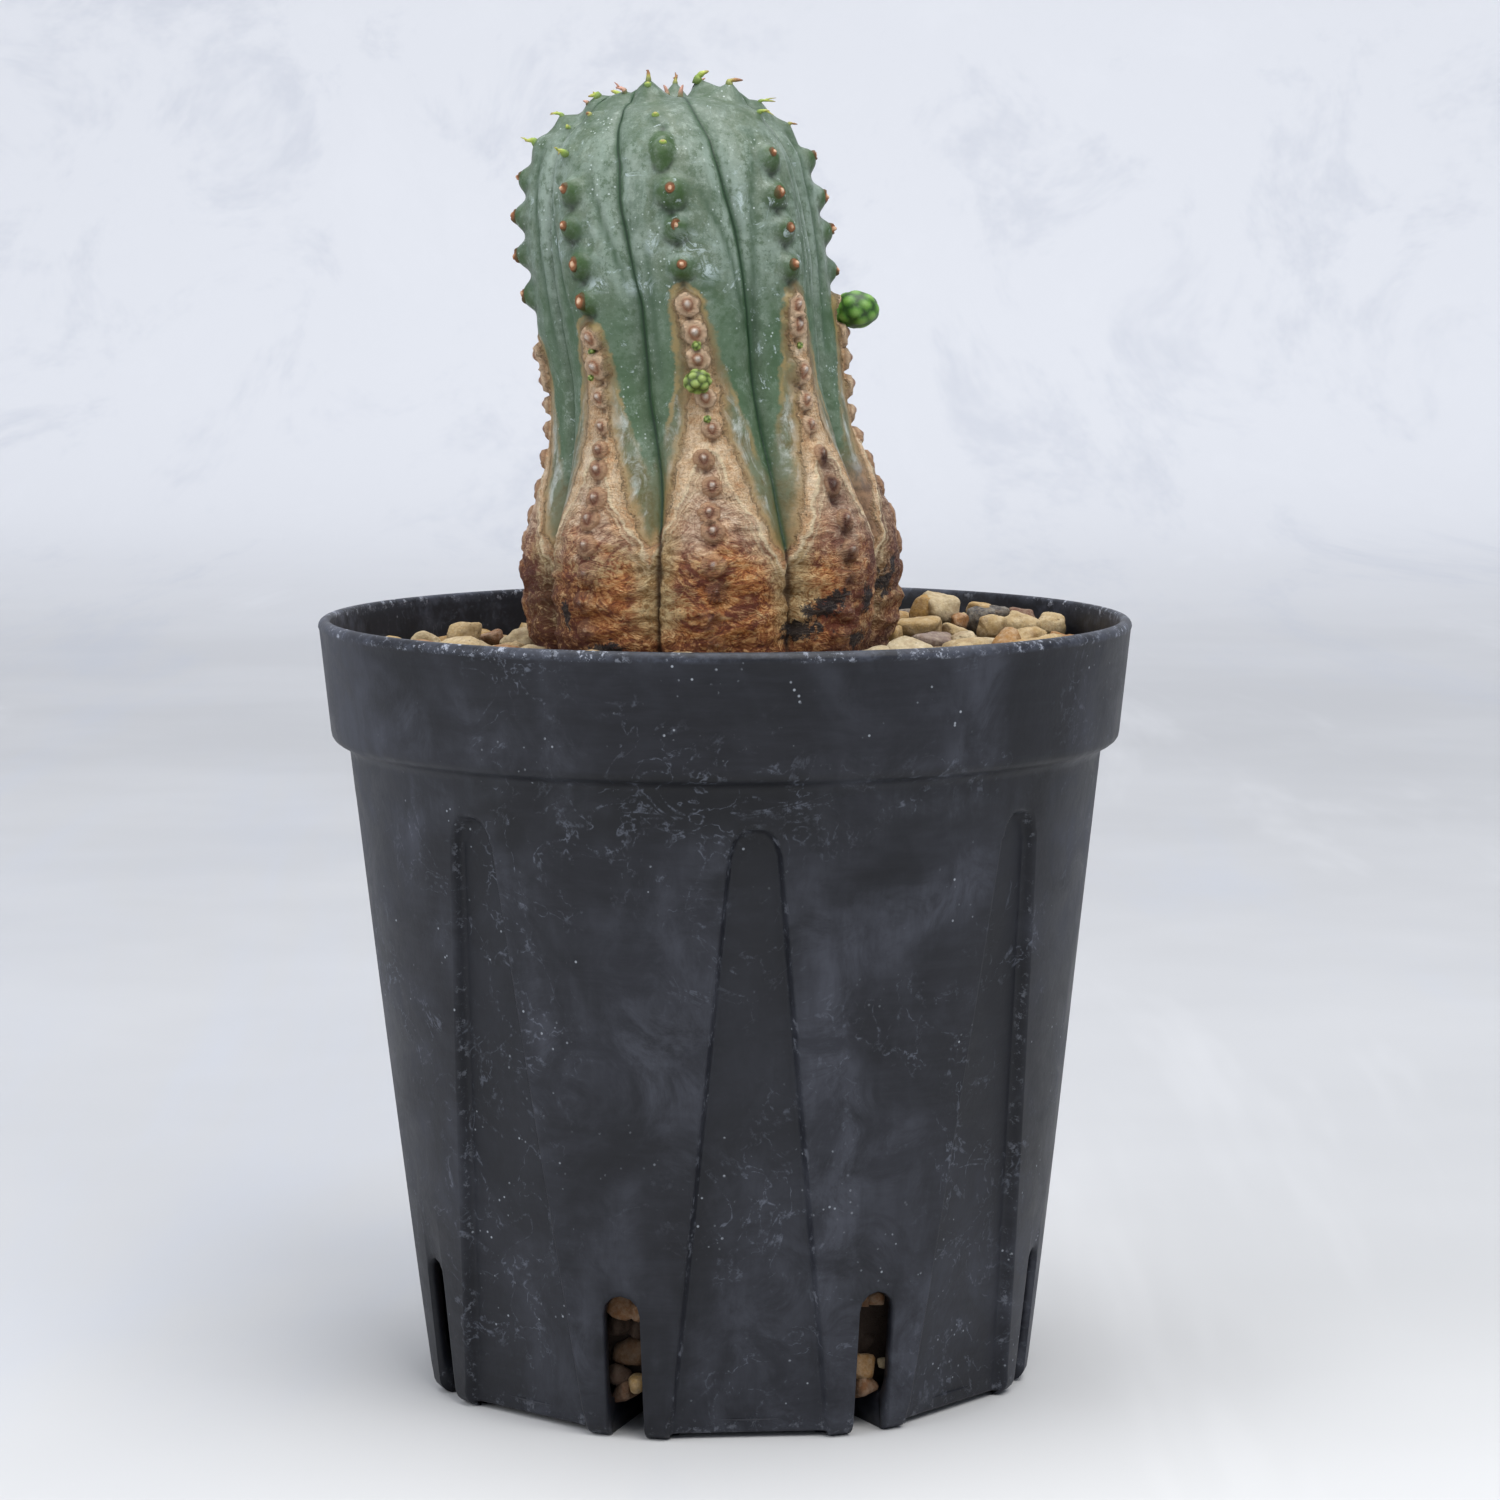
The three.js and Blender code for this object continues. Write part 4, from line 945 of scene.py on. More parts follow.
class Skin:
    """The stem's skin as a grid: rows from the root's tip to the crown, columns round it."""

    def __init__(self):
        crest, z = outline_at(np.linspace(0, 1, OUTLINE_STEPS))
        arc = np.concatenate([[0], np.cumsum(np.hypot(np.diff(crest), np.diff(z)))])
        lower = slice(0, OUTLINE_STEPS // 2)
        top = np.interp(ROOT_TOP_Z, z[lower], arc[lower])
        rows = np.concatenate([np.linspace(0.4, top, ROOT_ROWS, endpoint=False),
                               np.linspace(top, arc[-1] - 0.12, SKIN_ROWS)])
        self.arc = rows
        self.crest, self.z = np.interp(rows, arc, crest), np.interp(rows, arc, z)
        self.dense = (arc, crest, z)
        # Columns run between a rib's crest and the grooves beside it, closest at the crest and the groove
        step = np.arange(RIB_COLUMNS) / RIB_COLUMNS
        step = step - 0.35 * np.sin(4 * np.pi * step) / (4 * np.pi)
        knots = [place(rib, self.z) for rib in range(8) for place in (crest_place, groove_place)]
        knots = np.stack(knots + [knots[0] + 8], axis=1)
        column = (np.arange(8)[:, None] + step).ravel() * 2
        low = column.astype(int)
        share = column - low
        self.place = knots[:, low] * (1 - share) + knots[:, low + 1] * share
        self.across = np.broadcast_to(1 - np.abs(column % 2 - 1), self.place.shape)
        self.groove_place = knots[:, 1::2]
        z = self.z[:, None]
        self.azimuth = azimuth_of(self.place, z)
        fade = np.minimum(1, self.crest / 4)[:, None]
        depth = look_up(GROOVES, z, 1) * self.across**2
        depth = depth + look_up(GROOVES, z, 2) * bell(1 - self.across, 0.13)
        radius = self.crest[:, None] - fade * depth
        turn = np.radians(self.azimuth)
        axis = look_up(STEM_AXIS, z)
        x, y = axis + radius * np.sin(turn), STEM_Y - radius * np.cos(turn)
        self.points = np.stack([x, y, z + 0 * turn], axis=-1)
        self.normals = self.normals_of(self.points)

    @staticmethod
    def normals_of(points):
        along = np.gradient(points, axis=0)
        around = np.roll(points, -1, axis=1) - np.roll(points, 1, axis=1)
        normals = np.cross(around, along)
        return normals / np.maximum(np.linalg.norm(normals, axis=-1, keepdims=True), 1e-9)

    def arc_at(self, z=None, crown_radius=None):
        """The place along the outline of a height below the crown, or of a radius on the crown."""
        arc, crest, height = self.dense
        if z is not None:
            side = slice(0, int(np.argmax(height)))
            return float(np.interp(z, height[side], arc[side]))
        crown = slice(int(np.argmax(height > 112)), None)
        return float(np.interp(-crown_radius, -crest[crown], arc[crown]))

    def beside(self, azimuth, rows=slice(None)):
        """Distance in mm round the stem from an azimuth."""
        turn = (self.azimuth[rows] - azimuth + 180) % 360 - 180
        return np.radians(turn) * self.crest[rows, None]

    def spot(self, arc, azimuth):
        """The skin's point and outward direction at a place."""
        row = int(np.argmin(np.abs(self.arc - arc)))
        column = int(np.argmin(np.abs(self.beside(azimuth)[row])))
        return self.points[row, column], self.normals[row, column]


skin = Skin()


def knob_list():
    """Every knob and bead: (rib, place along the outline, azimuth, kind, size, height)."""
    rng = np.random.default_rng(17)
    knobs = []
    for rib in range(8):
        greens, beads = KNOB_ROWS.get(rib, ([], []))
        tip = 100.7 + CORK_TIP_SHIFT[rib]
        if not greens:
            greens = list(np.arange(113.2, tip + 1.2, -3.4) + rng.uniform(-0.4, 0.4))
        if not beads:
            z = tip - 1.2
            while z > 73:
                beads = beads + [z]
                z -= rng.uniform(2.0, 2.8)
        beads = beads + list(np.arange(beads[-1] - 2.6, 66, -2.5) + rng.uniform(-0.3, 0.3))
        for z in greens:
            azimuth = azimuth_of(crest_place(rib, z) + look_up(KNOB_SHIFT.get(rib, EVEN_LINE), z), z)
            size = LARGE_KNOBS.get((rib, z), rng.uniform(0.84, 1.0))
            knobs.append((rib, skin.arc_at(z=z), azimuth, "green", size, z))
        for z in beads:
            jitter = rng.uniform(-0.35, 0.35) * (1 if z < 90 else 0.4) + BEAD_SHIFT.get(rib, 0)
            azimuth = azimuth_of(crest_place(rib, z), z) + np.degrees(jitter / 14)
            size = look_up(BEAD_SIZES, z) * rng.uniform(0.9, 1.08)
            knobs.append((rib, skin.arc_at(z=z), azimuth, "bead", size, z))
    return knobs


# The crown's knobs with their dried flower stalks: azimuth, distance from the apex, the knob's height and
# width, the stalk's tint, length, thickness, lean outwards and hook (mm along +X at its tip)
CROWN = [
    (-25, 4.7, 1.9, 1.5, "brown", 0.75, 0.27, 0, -0.05), (-23, 5.2, 0, 0.5, "green", 0.14, 0.28, 0.2, 0),
    (-8, 9.2, 0.4, 0.7, "green", 0.2, 0.22, 0.9, 0), (-3, 11.4, 0, 0.5, "green", 0.14, 0.27, 0.9, 0),
    (-54, 5.0, 0.85, 1.6, "pink", 0.6, 0.3, 0.2, -0.7), (-57, 8.6, 0.4, 0.9, "brown", 0.2, 0.2, 0.7, -0.2),
    (-88, 2.8, 0.3, 0.9, "pink", 0.12, 0.2, 0.2, 0.3), (-77, 6.6, 1.1, 2.0, "green", 0.12, 0.34, 0.2, -0.8),
    (-80, 7.5, 0.2, 1.0, "pink", 0.3, 0.22, 0.4, -0.3),
    (-90, 9.45, 1.1, 1.5, "green", 0.45, 0.28, 0.6, -0.75),
    (-74, 10.0, 0.3, 0.8, "green", 0.3, 0.2, 1.2, 0.3), (-92, 11.4, 0.5, 1.5, "green", 0.3, 0.3, 0.7, -0.7),
    (-54, 11.7, 0.5, 0.8, "green", 0.5, 0.32, 1.3, -0.3),
    (66, 3.1, 1.9, 1.3, "green", 0.9, 0.34, 0.2, 0.8), (68, 5.6, 1.5, 1.7, "brown", 0.5, 0.32, 0.2, 1.1),
    (60, 9.0, 0.4, 0.8, "green", 0.4, 0.24, 1.2, 0.6), (84, 7.9, 0.6, 1.6, "green", 0.4, 0.22, 0.9, 1.1),
    (89, 10.2, 0.7, 1.5, "brown", 0.16, 0.2, 1.0, 0.6), (-160, 2.0, 1.1, 1.0, "pink", 0.9, 0.22, 0.0, -0.3),
    (150, 1.6, 1.1, 0.9, "pink", 1.0, 0.2, 0.1, 0.2), (120, 2.6, 0.6, 0.8, "pink", 0.6, 0.16, 0.1, 0.5),
    (134, 3.6, 1.4, 1.1, "pink", 0.8, 0.24, 0.2, 0.5), (133, 6.5, 1.2, 1.2, "brown", 0.7, 0.26, 0.6, 0.5),
    (133, 9.4, 1.0, 1.0, "green", 0.7, 0.26, 1.2, 0.4),
    (178, 5.9, 2.1, 1.3, "brown", 0.8, 0.26, 0.2, 0.2), (178, 9.0, 1.1, 1.0, "green", 0.7, 0.28, 1.0, -0.3),
    (-137, 3.7, 0.7, 0.4, "pink", 0.4, 0.2, 0.2, -0.5), (-137, 6.7, 1.2, 1.1, "green", 0.8, 0.28, 0.7, -0.6),
    (-137, 9.5, 1.0, 1.0, "brown", 0.6, 0.26, 1.2, -0.3),
]
# Charred spots of the cork and pale scuffs of the skin: azimuth, z, half sizes in mm
CHAR_SPOTS = [(30, 70.3, 2.2, 1.0), (36, 72.3, 2.0, 0.9), (42, 73.2, 1.2, 0.9), (55, 72.9, 1.1, 1.2),
              (75, 73.8, 1.4, 1.2), (79, 75.6, 0.8, 1.0), (311, 71.6, 0.7, 1.6), (325, 68.6, 1.8, 0.6),
              (52, 69.3, 1.8, 0.7), (200, 71.5, 1.8, 1.0), (140, 73.0, 1.1, 1.2)]
BIG_KNOB = (0, 113.2)  # rib and height
FULL_CRESTS = {  # how far the crests at the sides stand out over their height, in mm
    6: [(94, 0), (96.5, 0.3), (99, 0.2), (101, 0.2), (104, 0.75), (112, 0.95), (114, 1.3)],
    2: [(78, 0), (81, 0.3), (88, 0.2), (91, 0.5), (95, 0.8), (98, 0.5), (102, 0.2), (112, 0.35), (116, 0.2)],
}
CROWN_LEAN = 0.045  # the crown rises towards +X by this slope
SCUFFS = [(7, 104.7, 1.4, 0.9), (-9, 104.9, 0.5, 0.8), (-16, 101.1, 1.3, 0.6), (12, 102.6, 0.9, 0.8),
          (-33, 101.2, 0.8, 0.5), (-52, 104.5, 0.5, 0.9), (30, 108.6, 0.5, 1.0), (95, 100, 1.2, 0.8),
          (160, 104, 1.4, 0.8), (205, 99, 0.9, 1.0), (250, 106, 1.0, 0.8)]
# Azimuth and height of pits in the cork, sunk and darkened as painted shade
RED_PITS = [(47, 83.4), (47, 81.9), (47, 79.2), (46, 76.5), (46, 74.7), (49, 85.4), (4, 74.3), (2, 71.6)]


KNOB_REACH = 4.5  # mm along the outline that a knob's relief reaches


class Relief:
    """The stem's relief in mm, and shares from 0 to 1 that its material reads, at each point of the skin."""

    def __init__(self):
        self.z = skin.z[:, None] + 0 * skin.azimuth
        self.lift = 0 * self.z
        self.shares = {name: 0 * self.z for name in ("knob", "pit", "bead", "fold", "scuff", "char")}

    def mark(self, name, share, rows=slice(None)):
        """Raises a share to a new value where that is higher."""
        known = self.shares[name]
        known[rows] = np.maximum(known[rows], share)

    def spots(self, name, places):
        """Marks soft ovals: azimuth, height, half sizes."""
        for azimuth, height, half_x, half_z in places:
            self.mark(name, bell(np.hypot(skin.beside(azimuth) / half_x, (self.z - height) / half_z), 1.1))


def cork_edges():
    """How far each point is inside the edge of the cork, of its older part and of the olive skin, in mm."""
    edges = {name: np.full(skin.azimuth.shape, -20.0) for name in ("cork", "inner", "tent")}
    on_side = (skin.arc < skin.arc_at(z=112))[:, None]
    for rib in range(8):
        beside = np.abs(skin.beside(azimuth_of(crest_place(rib, skin.z), skin.z)[:, None]))
        at = skin.z - CORK_TIP_SHIFT[rib] * np.clip((skin.z - 78) / 22, 0, 1.05)
        for name, rows in zip(edges, (OUTER_CORK, INNER_CORK, OLIVE)):
            edges[name] = np.maximum(edges[name], np.where(on_side, look_up(rows, at)[:, None] - beside, -20))
    wobble = 0.4 * noise(skin.points, 2.6, 3, 2)
    edges["cork"] += wobble
    edges["inner"] = edges["inner"] + 1.3 * wobble + 0.3 * noise(skin.points, 1.1, 8)
    edges["tent"] += 0.5 * wobble
    return edges


def groove_distance():
    """Distance in mm from the nearest groove's line."""
    lines = [azimuth_of(skin.groove_place[:, rib], skin.z)[:, None] for rib in range(8)]
    return np.min([np.abs(skin.beside(line)) for line in lines], axis=0)


def near(arc):
    low, high = np.searchsorted(skin.arc, (arc - KNOB_REACH, arc + KNOB_REACH))
    return slice(int(low), int(high))


def add_big_knob(relief, rows, x, y):
    """The large knob at the top of the front rib, pinched in above and below."""
    oval = np.hypot(x / (1.25 + 0.1 * np.clip(y, -1, 1)), y / 2.15) + 0.12 * noise(skin.points[rows], 1.2, 6)
    relief.lift[rows] += 0.8 * (1 - smooth(oval, 0.15, 1.1)) - 0.25 * bell(np.hypot(x, y - 2.3), 0.45)
    relief.mark("knob", 1 - smooth(oval, 0.8, 1.02), rows)
    # Painted shade in the pinch above the knob and along its lower edge
    relief.mark("pit", 0.8 * bell(np.hypot(x * 1.3, y - 2.3), 0.36), rows)
    relief.mark("pit", 0.7 * bell(oval - 0.96, 0.09) * smooth(-y, 0.4, 1.6), rows)


def add_green_knob(relief, rows, x, y, size, in_profile):
    """A round knob with a dark rim and a hollow below it; the rim's lower edge and the hollow get painted
    shade.
    """
    round_top = np.hypot(x / 1.2, np.where(y > 0, y / 1.15, y / 1.3)) / size
    below = np.hypot(x * 1.1, y + 1.75 * size)
    relief.lift[rows] += (0.95 if in_profile else 1.0) * size * np.exp(-(round_top**3.3))
    relief.lift[rows] -= (0.1 if in_profile else 0.35) * bell(below, 0.55)
    mound = np.hypot(x / 1.32, (y + 0.3) / 1.35) / size + 0.2 * noise(skin.points[rows], 1.0, 6)
    relief.mark("knob", 1 - smooth(mound, 0.65, 1.08), rows)
    # Painted shade along the knob's lower edge and in the hollow below it
    relief.mark("pit", 0.75 * bell(mound - 0.98, 0.16) * smooth(-y, 0.6, 1.4), rows)
    relief.mark("pit", 0.9 * bell(below, 0.4), rows)


def add_bead(relief, rows, x, y, size, height, in_profile):
    """A corky bead: a plate with a rim, a bulb on it and a hollow below it, worn softer further down; the
    hollows get painted shade and the bulb's tip is partly a painted highlight.
    """
    rough = 0.05 * noise(skin.points[rows], 0.9, 5)
    distance = np.hypot(x, y) + rough
    tip = np.hypot(x, y - 0.12 * size) + rough
    softness = [0.35, 0.4, 0.8, 1.0] if in_profile else [0.35, 0.8, 0.92, 1.0]
    soft = np.interp(height, [70, 80, 86, 90], softness)
    plate = 1 - smooth(distance, 0.92 * size, 1.16 * size)
    rim = bell(distance - 0.86 * size, 0.14 * size)
    bulb = bell(tip, (0.7 if in_profile else 0.46) * size)
    relief.lift[rows] += soft * (0.4 * size * plate + 0.14 * size * rim + 0.6 * size * bulb)
    hollow = bell(np.hypot(x, y + 0.42 * size), 0.3 * size)
    relief.lift[rows] -= 0.16 * soft * hollow
    # Brown towards the middle and, as painted shade, in the hollow under the bulb; the pale tip is partly a
    # painted highlight
    brown = np.clip(0.24 * bell(distance, 0.62 * size) + 0.2 * hollow, 0, 0.34)
    relief.mark("bead", np.clip(plate * (0.26 + brown) + 0.75 * bell(tip, 0.27 * size), 0, 1), rows)
    # Painted shade in the hollow below the bead
    below = np.hypot(x * 1.2, y + 1.25 * size)
    relief.mark("pit", 0.85 * soft * bell(below, 0.3), rows)
    relief.lift[rows] -= 0.3 * soft * bell(below, 0.42)


def add_knobs(relief):
    """The knobs and beads on the ribs, then the knobs of the crown."""
    for rib, arc, azimuth, kind, size, height in knob_list():
        rows = near(arc)
        x = skin.beside(azimuth, rows)
        y = skin.arc[rows, None] - arc
        if (rib, height) == BIG_KNOB:
            add_big_knob(relief, rows, x, y)
        elif kind == "green":
            add_green_knob(relief, rows, x, y, size, rib in FULL_CRESTS)
        else:
            add_bead(relief, rows, x, y, size, height, rib in FULL_CRESTS)
    for azimuth, radius, height, width, *_ in CROWN:
        arc = skin.arc_at(crown_radius=radius)
        rows = near(arc)
        distance = np.hypot(skin.beside(azimuth, rows), skin.arc[rows, None] - arc)
        relief.lift[rows] += height * np.clip(1 - distance / (1.35 * width), 0, 1) ** 1.15
        relief.mark("knob", 0.35 * bell(distance, 0.7 * width), rows)


def add_folds(relief):
    """The fuller crests at the sides, and the soft creases of the green skin, darkened as painted shade."""
    below_apex = smooth(-skin.arc, -skin.arc_at(crown_radius=8.5), -skin.arc_at(crown_radius=12))[:, None]
    for rib, fullness in FULL_CRESTS.items():
        beside = skin.beside(azimuth_of(rib, skin.z)[:, None])
        relief.lift += look_up(fullness, relief.z) * bell(beside, 3.6) * below_apex
    on_side = (skin.arc < skin.arc_at(z=115))[:, None]
    for line, depth, width in SOFT_CREASES:
        low, high = line[0][0], line[-1][0]
        inside = (smooth(skin.z, low - 2.5, low + 1) * smooth(skin.z, high + 2.5, high - 1))[:, None]
        beside = skin.beside(azimuth_of(look_up(line, skin.z), skin.z)[:, None])
        crease = bell(beside, 0.7 * width) * inside * on_side
        relief.lift -= depth * crease - 0.35 * depth * bell(np.abs(beside) - 2 * width, width) * inside
        # painted shade in each crease
        relief.mark("fold", crease)


def add_texture(relief, edges):
    """Flame edges stand up as fine contour lines; the cork is wrinkled across and folded at the foot, with
    painted shade in the folds' troughs.
    """
    points, lift = skin.points, relief.lift
    is_cork = smooth(edges["cork"], -0.15, 0.25)
    is_inner = smooth(edges["inner"], -0.2, 0.3)
    lift += 0.10 * bell(edges["cork"] - 0.1, 0.3) + 0.13 * bell(edges["inner"], 0.28) * is_cork
    crinkle = noise(points, (1.7, 1.7, 0.6), 21, 3)
    grain_down = noise(points, (0.7, 0.7, 2.4), 22, 2)
    crinkled = is_cork * (1 - 0.75 * smooth(relief.shares["bead"], 0.05, 0.24))
    lift += crinkled * (0.24 * crinkle * (0.35 + 0.65 * is_inner) + 0.07 * grain_down * (1 - is_inner))
    foot = smooth(relief.z, 79, 72)
    ridged = 1 - 2 * np.abs(noise(points, (7.5, 7.5, 2.1), 23, 2))
    lift += foot * (0.34 * ridged - 0.1 + 0.22 * noise(points, (2.4, 2.4, 1.0), 24, 2))
    lift += (1 - is_cork) * (0.045 * noise(points, (9, 9, 1.2), 25, 2) + 0.10 * noise(points, 6, 26))
    # painted shade in the troughs of the foot's folds
    relief.mark("fold", foot * smooth(ridged, -0.2, -0.75))


def on_one_side(z, azimuth, width, high, low):
    """A share that is highest at an azimuth and below a height."""
    turned = (skin.azimuth - azimuth + 180) % 360 - 180
    return bell(turned, width) * smooth(z, high, low)


def stem_surface():
    """How far each point of the skin is lifted, and what the stem's material needs there."""
    relief = Relief()
    edges = cork_edges()
    add_knobs(relief)
    add_folds(relief)
    add_texture(relief, edges)
    relief.spots("char", CHAR_SPOTS)
    relief.spots("scuff", SCUFFS)
    # The pits sink in and get painted shade
    for azimuth, height in RED_PITS:
        distance = np.hypot(skin.beside(azimuth), (relief.z - height) * 0.8)
        relief.mark("pit", bell(distance, 0.75))
        relief.lift -= 0.4 * bell(distance, 0.7)
    # Nothing grows on the part that is buried in the grains, and the middle of the crown is smooth
    relief.lift *= smooth(relief.z, 60, 66) * np.minimum(1, skin.crest[:, None] / 2.5)
    return relief.lift, {
        **relief.shares, **edges, "groove": groove_distance(),
        "weather": 0.9 * on_one_side(relief.z, 78, 34, 88, 82),
        "dark_side": on_one_side(relief.z, -66, 30, 79, 73),
    }


def build_stem():
    lift, attributes = stem_surface()
    skin.points = skin.points + skin.normals * lift[..., None]
    on_crown = smooth(skin.arc, skin.arc_at(z=113), skin.arc_at(crown_radius=6))[:, None]
    skin.points[..., 2] += CROWN_LEAN * on_crown * (skin.points[..., 0] - look_up(STEM_AXIS, 118) - 0.5)
    rows, columns = lift.shape
    ends = np.array([[look_up(STEM_AXIS, 48), STEM_Y, 48.0],
                     [look_up(STEM_AXIS, 118), STEM_Y, skin.points[-1, :, 2].mean()]])
    points = np.concatenate([skin.points.reshape(-1, 3), ends])
    tip, crown = rows * columns, rows * columns + 1
    faces = grid_faces(rows, columns) + fan(tip, 0, columns) + fan(crown, tip - columns, columns, flip=True)
    attributes = {key: np.append(v, [v[0, 0], v[-1, 0]]) for key, v in attributes.items()}
    piece("stem_skin", points, faces, stem_material(), "stem_skin", ["stem"], **attributes)
    skin.normals = skin.normals_of(skin.points)


def build_nubs():
    """The orange-brown stubs on the green knobs."""
    rng = np.random.default_rng(23)
    parts = []
    for rib, arc, azimuth, kind, _, z in knob_list():
        if kind != "green" or (rib, z) == BIG_KNOB:
            continue
        point, _ = skin.spot(arc, azimuth)
        turn = math.radians(azimuth)
        direction = np.array([math.sin(turn), -math.cos(turn), rng.uniform(-0.05, 0.3)])
        direction += rng.uniform(-0.2, 0.2, 3)
        direction /= np.linalg.norm(direction)
        thick = rng.uniform(0.42, 0.54)
        steps = np.array([-0.7, -0.3, -0.05, 0.08, 0.12, 0.1, 0.24, 0.28]) * rng.uniform(0.8, 1.3)
        radii = thick * np.array([1.2, 1.1, 1.0, 0.85, 0.66, 0.5, 0.36, 0.15])
        points, faces, looks = tube(point + np.outer(steps, direction), radii, 16)
        points[:, 2] = point[2] + (points[:, 2] - point[2]) * rng.uniform(1.0, 1.5)
        points = points + 0.22 * noise(points, 0.45, 31, 2)[:, None] * direction
        parts.append((points, faces, looks))
    material = growth_material(
        "nub", 0.62, 0.5, (0.0, (0.045, 0.06, 0.012)), (0.35, (0.09, 0.05, 0.014)),
        (0.55, (0.21, 0.07, 0.02)), (0.76, (0.24, 0.085, 0.03)), (0.86, (0.50, 0.27, 0.15)),
        (1.0, (0.66, 0.45, 0.30)))
    merged_piece("stem_nubs", parts, material, "stem_skin")


STALK_COLOURS = {
    "green": [(0.0, (0.12, 0.19, 0.05)), (0.4, (0.27, 0.38, 0.06)), (0.75, (0.45, 0.50, 0.10)),
              (1.0, (0.36, 0.26, 0.10))],
    "brown": [(0.0, (0.16, 0.21, 0.08)), (0.35, (0.38, 0.36, 0.08)), (0.7, (0.33, 0.17, 0.06)),
              (1.0, (0.26, 0.12, 0.07))],
    "pink": [(0.0, (0.16, 0.20, 0.09)), (0.35, (0.42, 0.24, 0.16)), (0.75, (0.62, 0.33, 0.25)),
             (1.0, (0.40, 0.19, 0.13))],
}


def stalk(rng, azimuth, radius, length, thick, lean, hook):
    """One dried stalk, hooked to one side, with up to two forked remains."""
    base, _ = skin.spot(skin.arc_at(crown_radius=radius), azimuth)
    turn = math.radians(azimuth)
    up = np.array([0, 0, 1.0])
    rise = up + lean * np.array([math.sin(turn), -math.cos(turn), 0])
    rise /= np.linalg.norm(rise)
    share = np.concatenate([[-0.5 / length], np.linspace(0, 1, 9)])
    bend = np.maximum(share, 0) ** 2
    path = base + np.outer(share * length, rise) + np.outer(bend * hook, [1, 0, 0])
    path = path - np.outer(bend * 0.3 * abs(hook), up)
    radii = thick * np.interp(share, [-0.25, 0, 0.35, 0.7, 0.9, 1], [1.7, 1.4, 1.0, 0.8, 0.55, 0.25])
    radii = radii * rng.uniform(0.85, 1.15, len(radii))
    parts = [tube(path, radii, 10, rng.uniform(0.6, 0.95))]
    for _ in range(rng.integers(0, 3)):
        end = rng.normal(0, 1, 3) * 0.22 + (path[-1] - path[-3]) * 0.9
        start = path[rng.integers(5, 9)]
        fork = np.array([start, start + 0.5 * end + [0, 0, 0.06], start + end])
        parts.append(tube(fork, np.array([0.4, 0.3, 0.12]) * thick, 7, start=0.6))
    return parts


def build_stalks():
    """The dried flower stalks on the crown, one piece for each tint."""
    rng = np.random.default_rng(29)
    for tint, stops in STALK_COLOURS.items():
        parts = []
        for azimuth, radius, _, _, kind, *shape in CROWN:
            if kind == tint:
                parts += stalk(rng, azimuth, radius, *shape)
        material = growth_material("stalk_" + tint, 0.6, 0.5, *stops)
        merged_piece("flower_stalks_" + tint, parts, material, "stem_skin")


# ---- The offsets and buds ----

BUDS = [(0, 95.9, 0.42), (7, 95.3, 0.34), (7, 92.9, 0.28), (0, 89.2, 0.34), (1, 95.8, 0.3),
        (3, 91.0, 0.42), (5, 90.0, 0.4), (4, 94.0, 0.36)]  # rib, z, radius
GOLDEN_TURN = math.pi * (3 - math.sqrt(5))


def knobbly_ball(centre, radii, level, bumps, seed, relief=1.0):
    """A ball of crowded knobs, as a young shoot is: 'along' is high on a knob's top."""
    rng = np.random.default_rng(seed)
    points, faces = BALLS[level]
    i = np.arange(bumps)
    height = 1 - 2 * (i + 0.5) / bumps
    turn = i * GOLDEN_TURN + rng.uniform(0, 6)
    flat = np.sqrt(1 - height**2)
    tops = np.stack([flat * np.cos(turn), flat * np.sin(turn), height], axis=1)
    tops += rng.normal(0, 0.06, (bumps, 3))
    tops /= np.linalg.norm(tops, axis=1, keepdims=True)
    distances = np.sort(np.linalg.norm(points[:, None] - tops[None], axis=2), axis=1)
    spacing = 3.3 / math.sqrt(bumps)
    dome = 1 - smooth(distances[:, 0], 0.1 * spacing, 0.62 * spacing)
    crack = 1 - smooth(distances[:, 1] - distances[:, 0], 0, 0.3 * spacing)
    size = 1 + relief * (0.13 * dome - 0.09 * crack) + 0.03 * noise(points, 0.3, seed)
    points = np.array(centre) + points * size[:, None] * np.array(radii)
    return points, faces, {"along": 0.75 * dome + 0.2 - 0.3 * crack}


def build_offset(node, radii, bumps, seed, relief, material):
    """A knobbly ball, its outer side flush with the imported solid's, and a neck that runs back to the stem."""
    low, high = (np.array(corner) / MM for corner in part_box(node))
    middle = (low + high) / 2
    if node == "offset_right":
        middle[0] = high[0] - radii[0]
    else:
        middle[1] = low[1] + radii[1]
    back = np.array([look_up(STEM_AXIS, middle[2]) - middle[0], STEM_Y - middle[1], 0])
    back /= np.linalg.norm(back)
    path = middle + np.outer(np.linspace(0.5, 1.0, 4) * 2.6 * radii[0] / 1.95, back)
    parts = [knobbly_ball(middle, radii, 4, bumps, seed, relief),
             tube(path, np.full(4, 0.55 * radii[0]), 16, start=0.45, end=0.15)]
    merged_piece(node + "_skin", parts, material, "offset_green", [node])


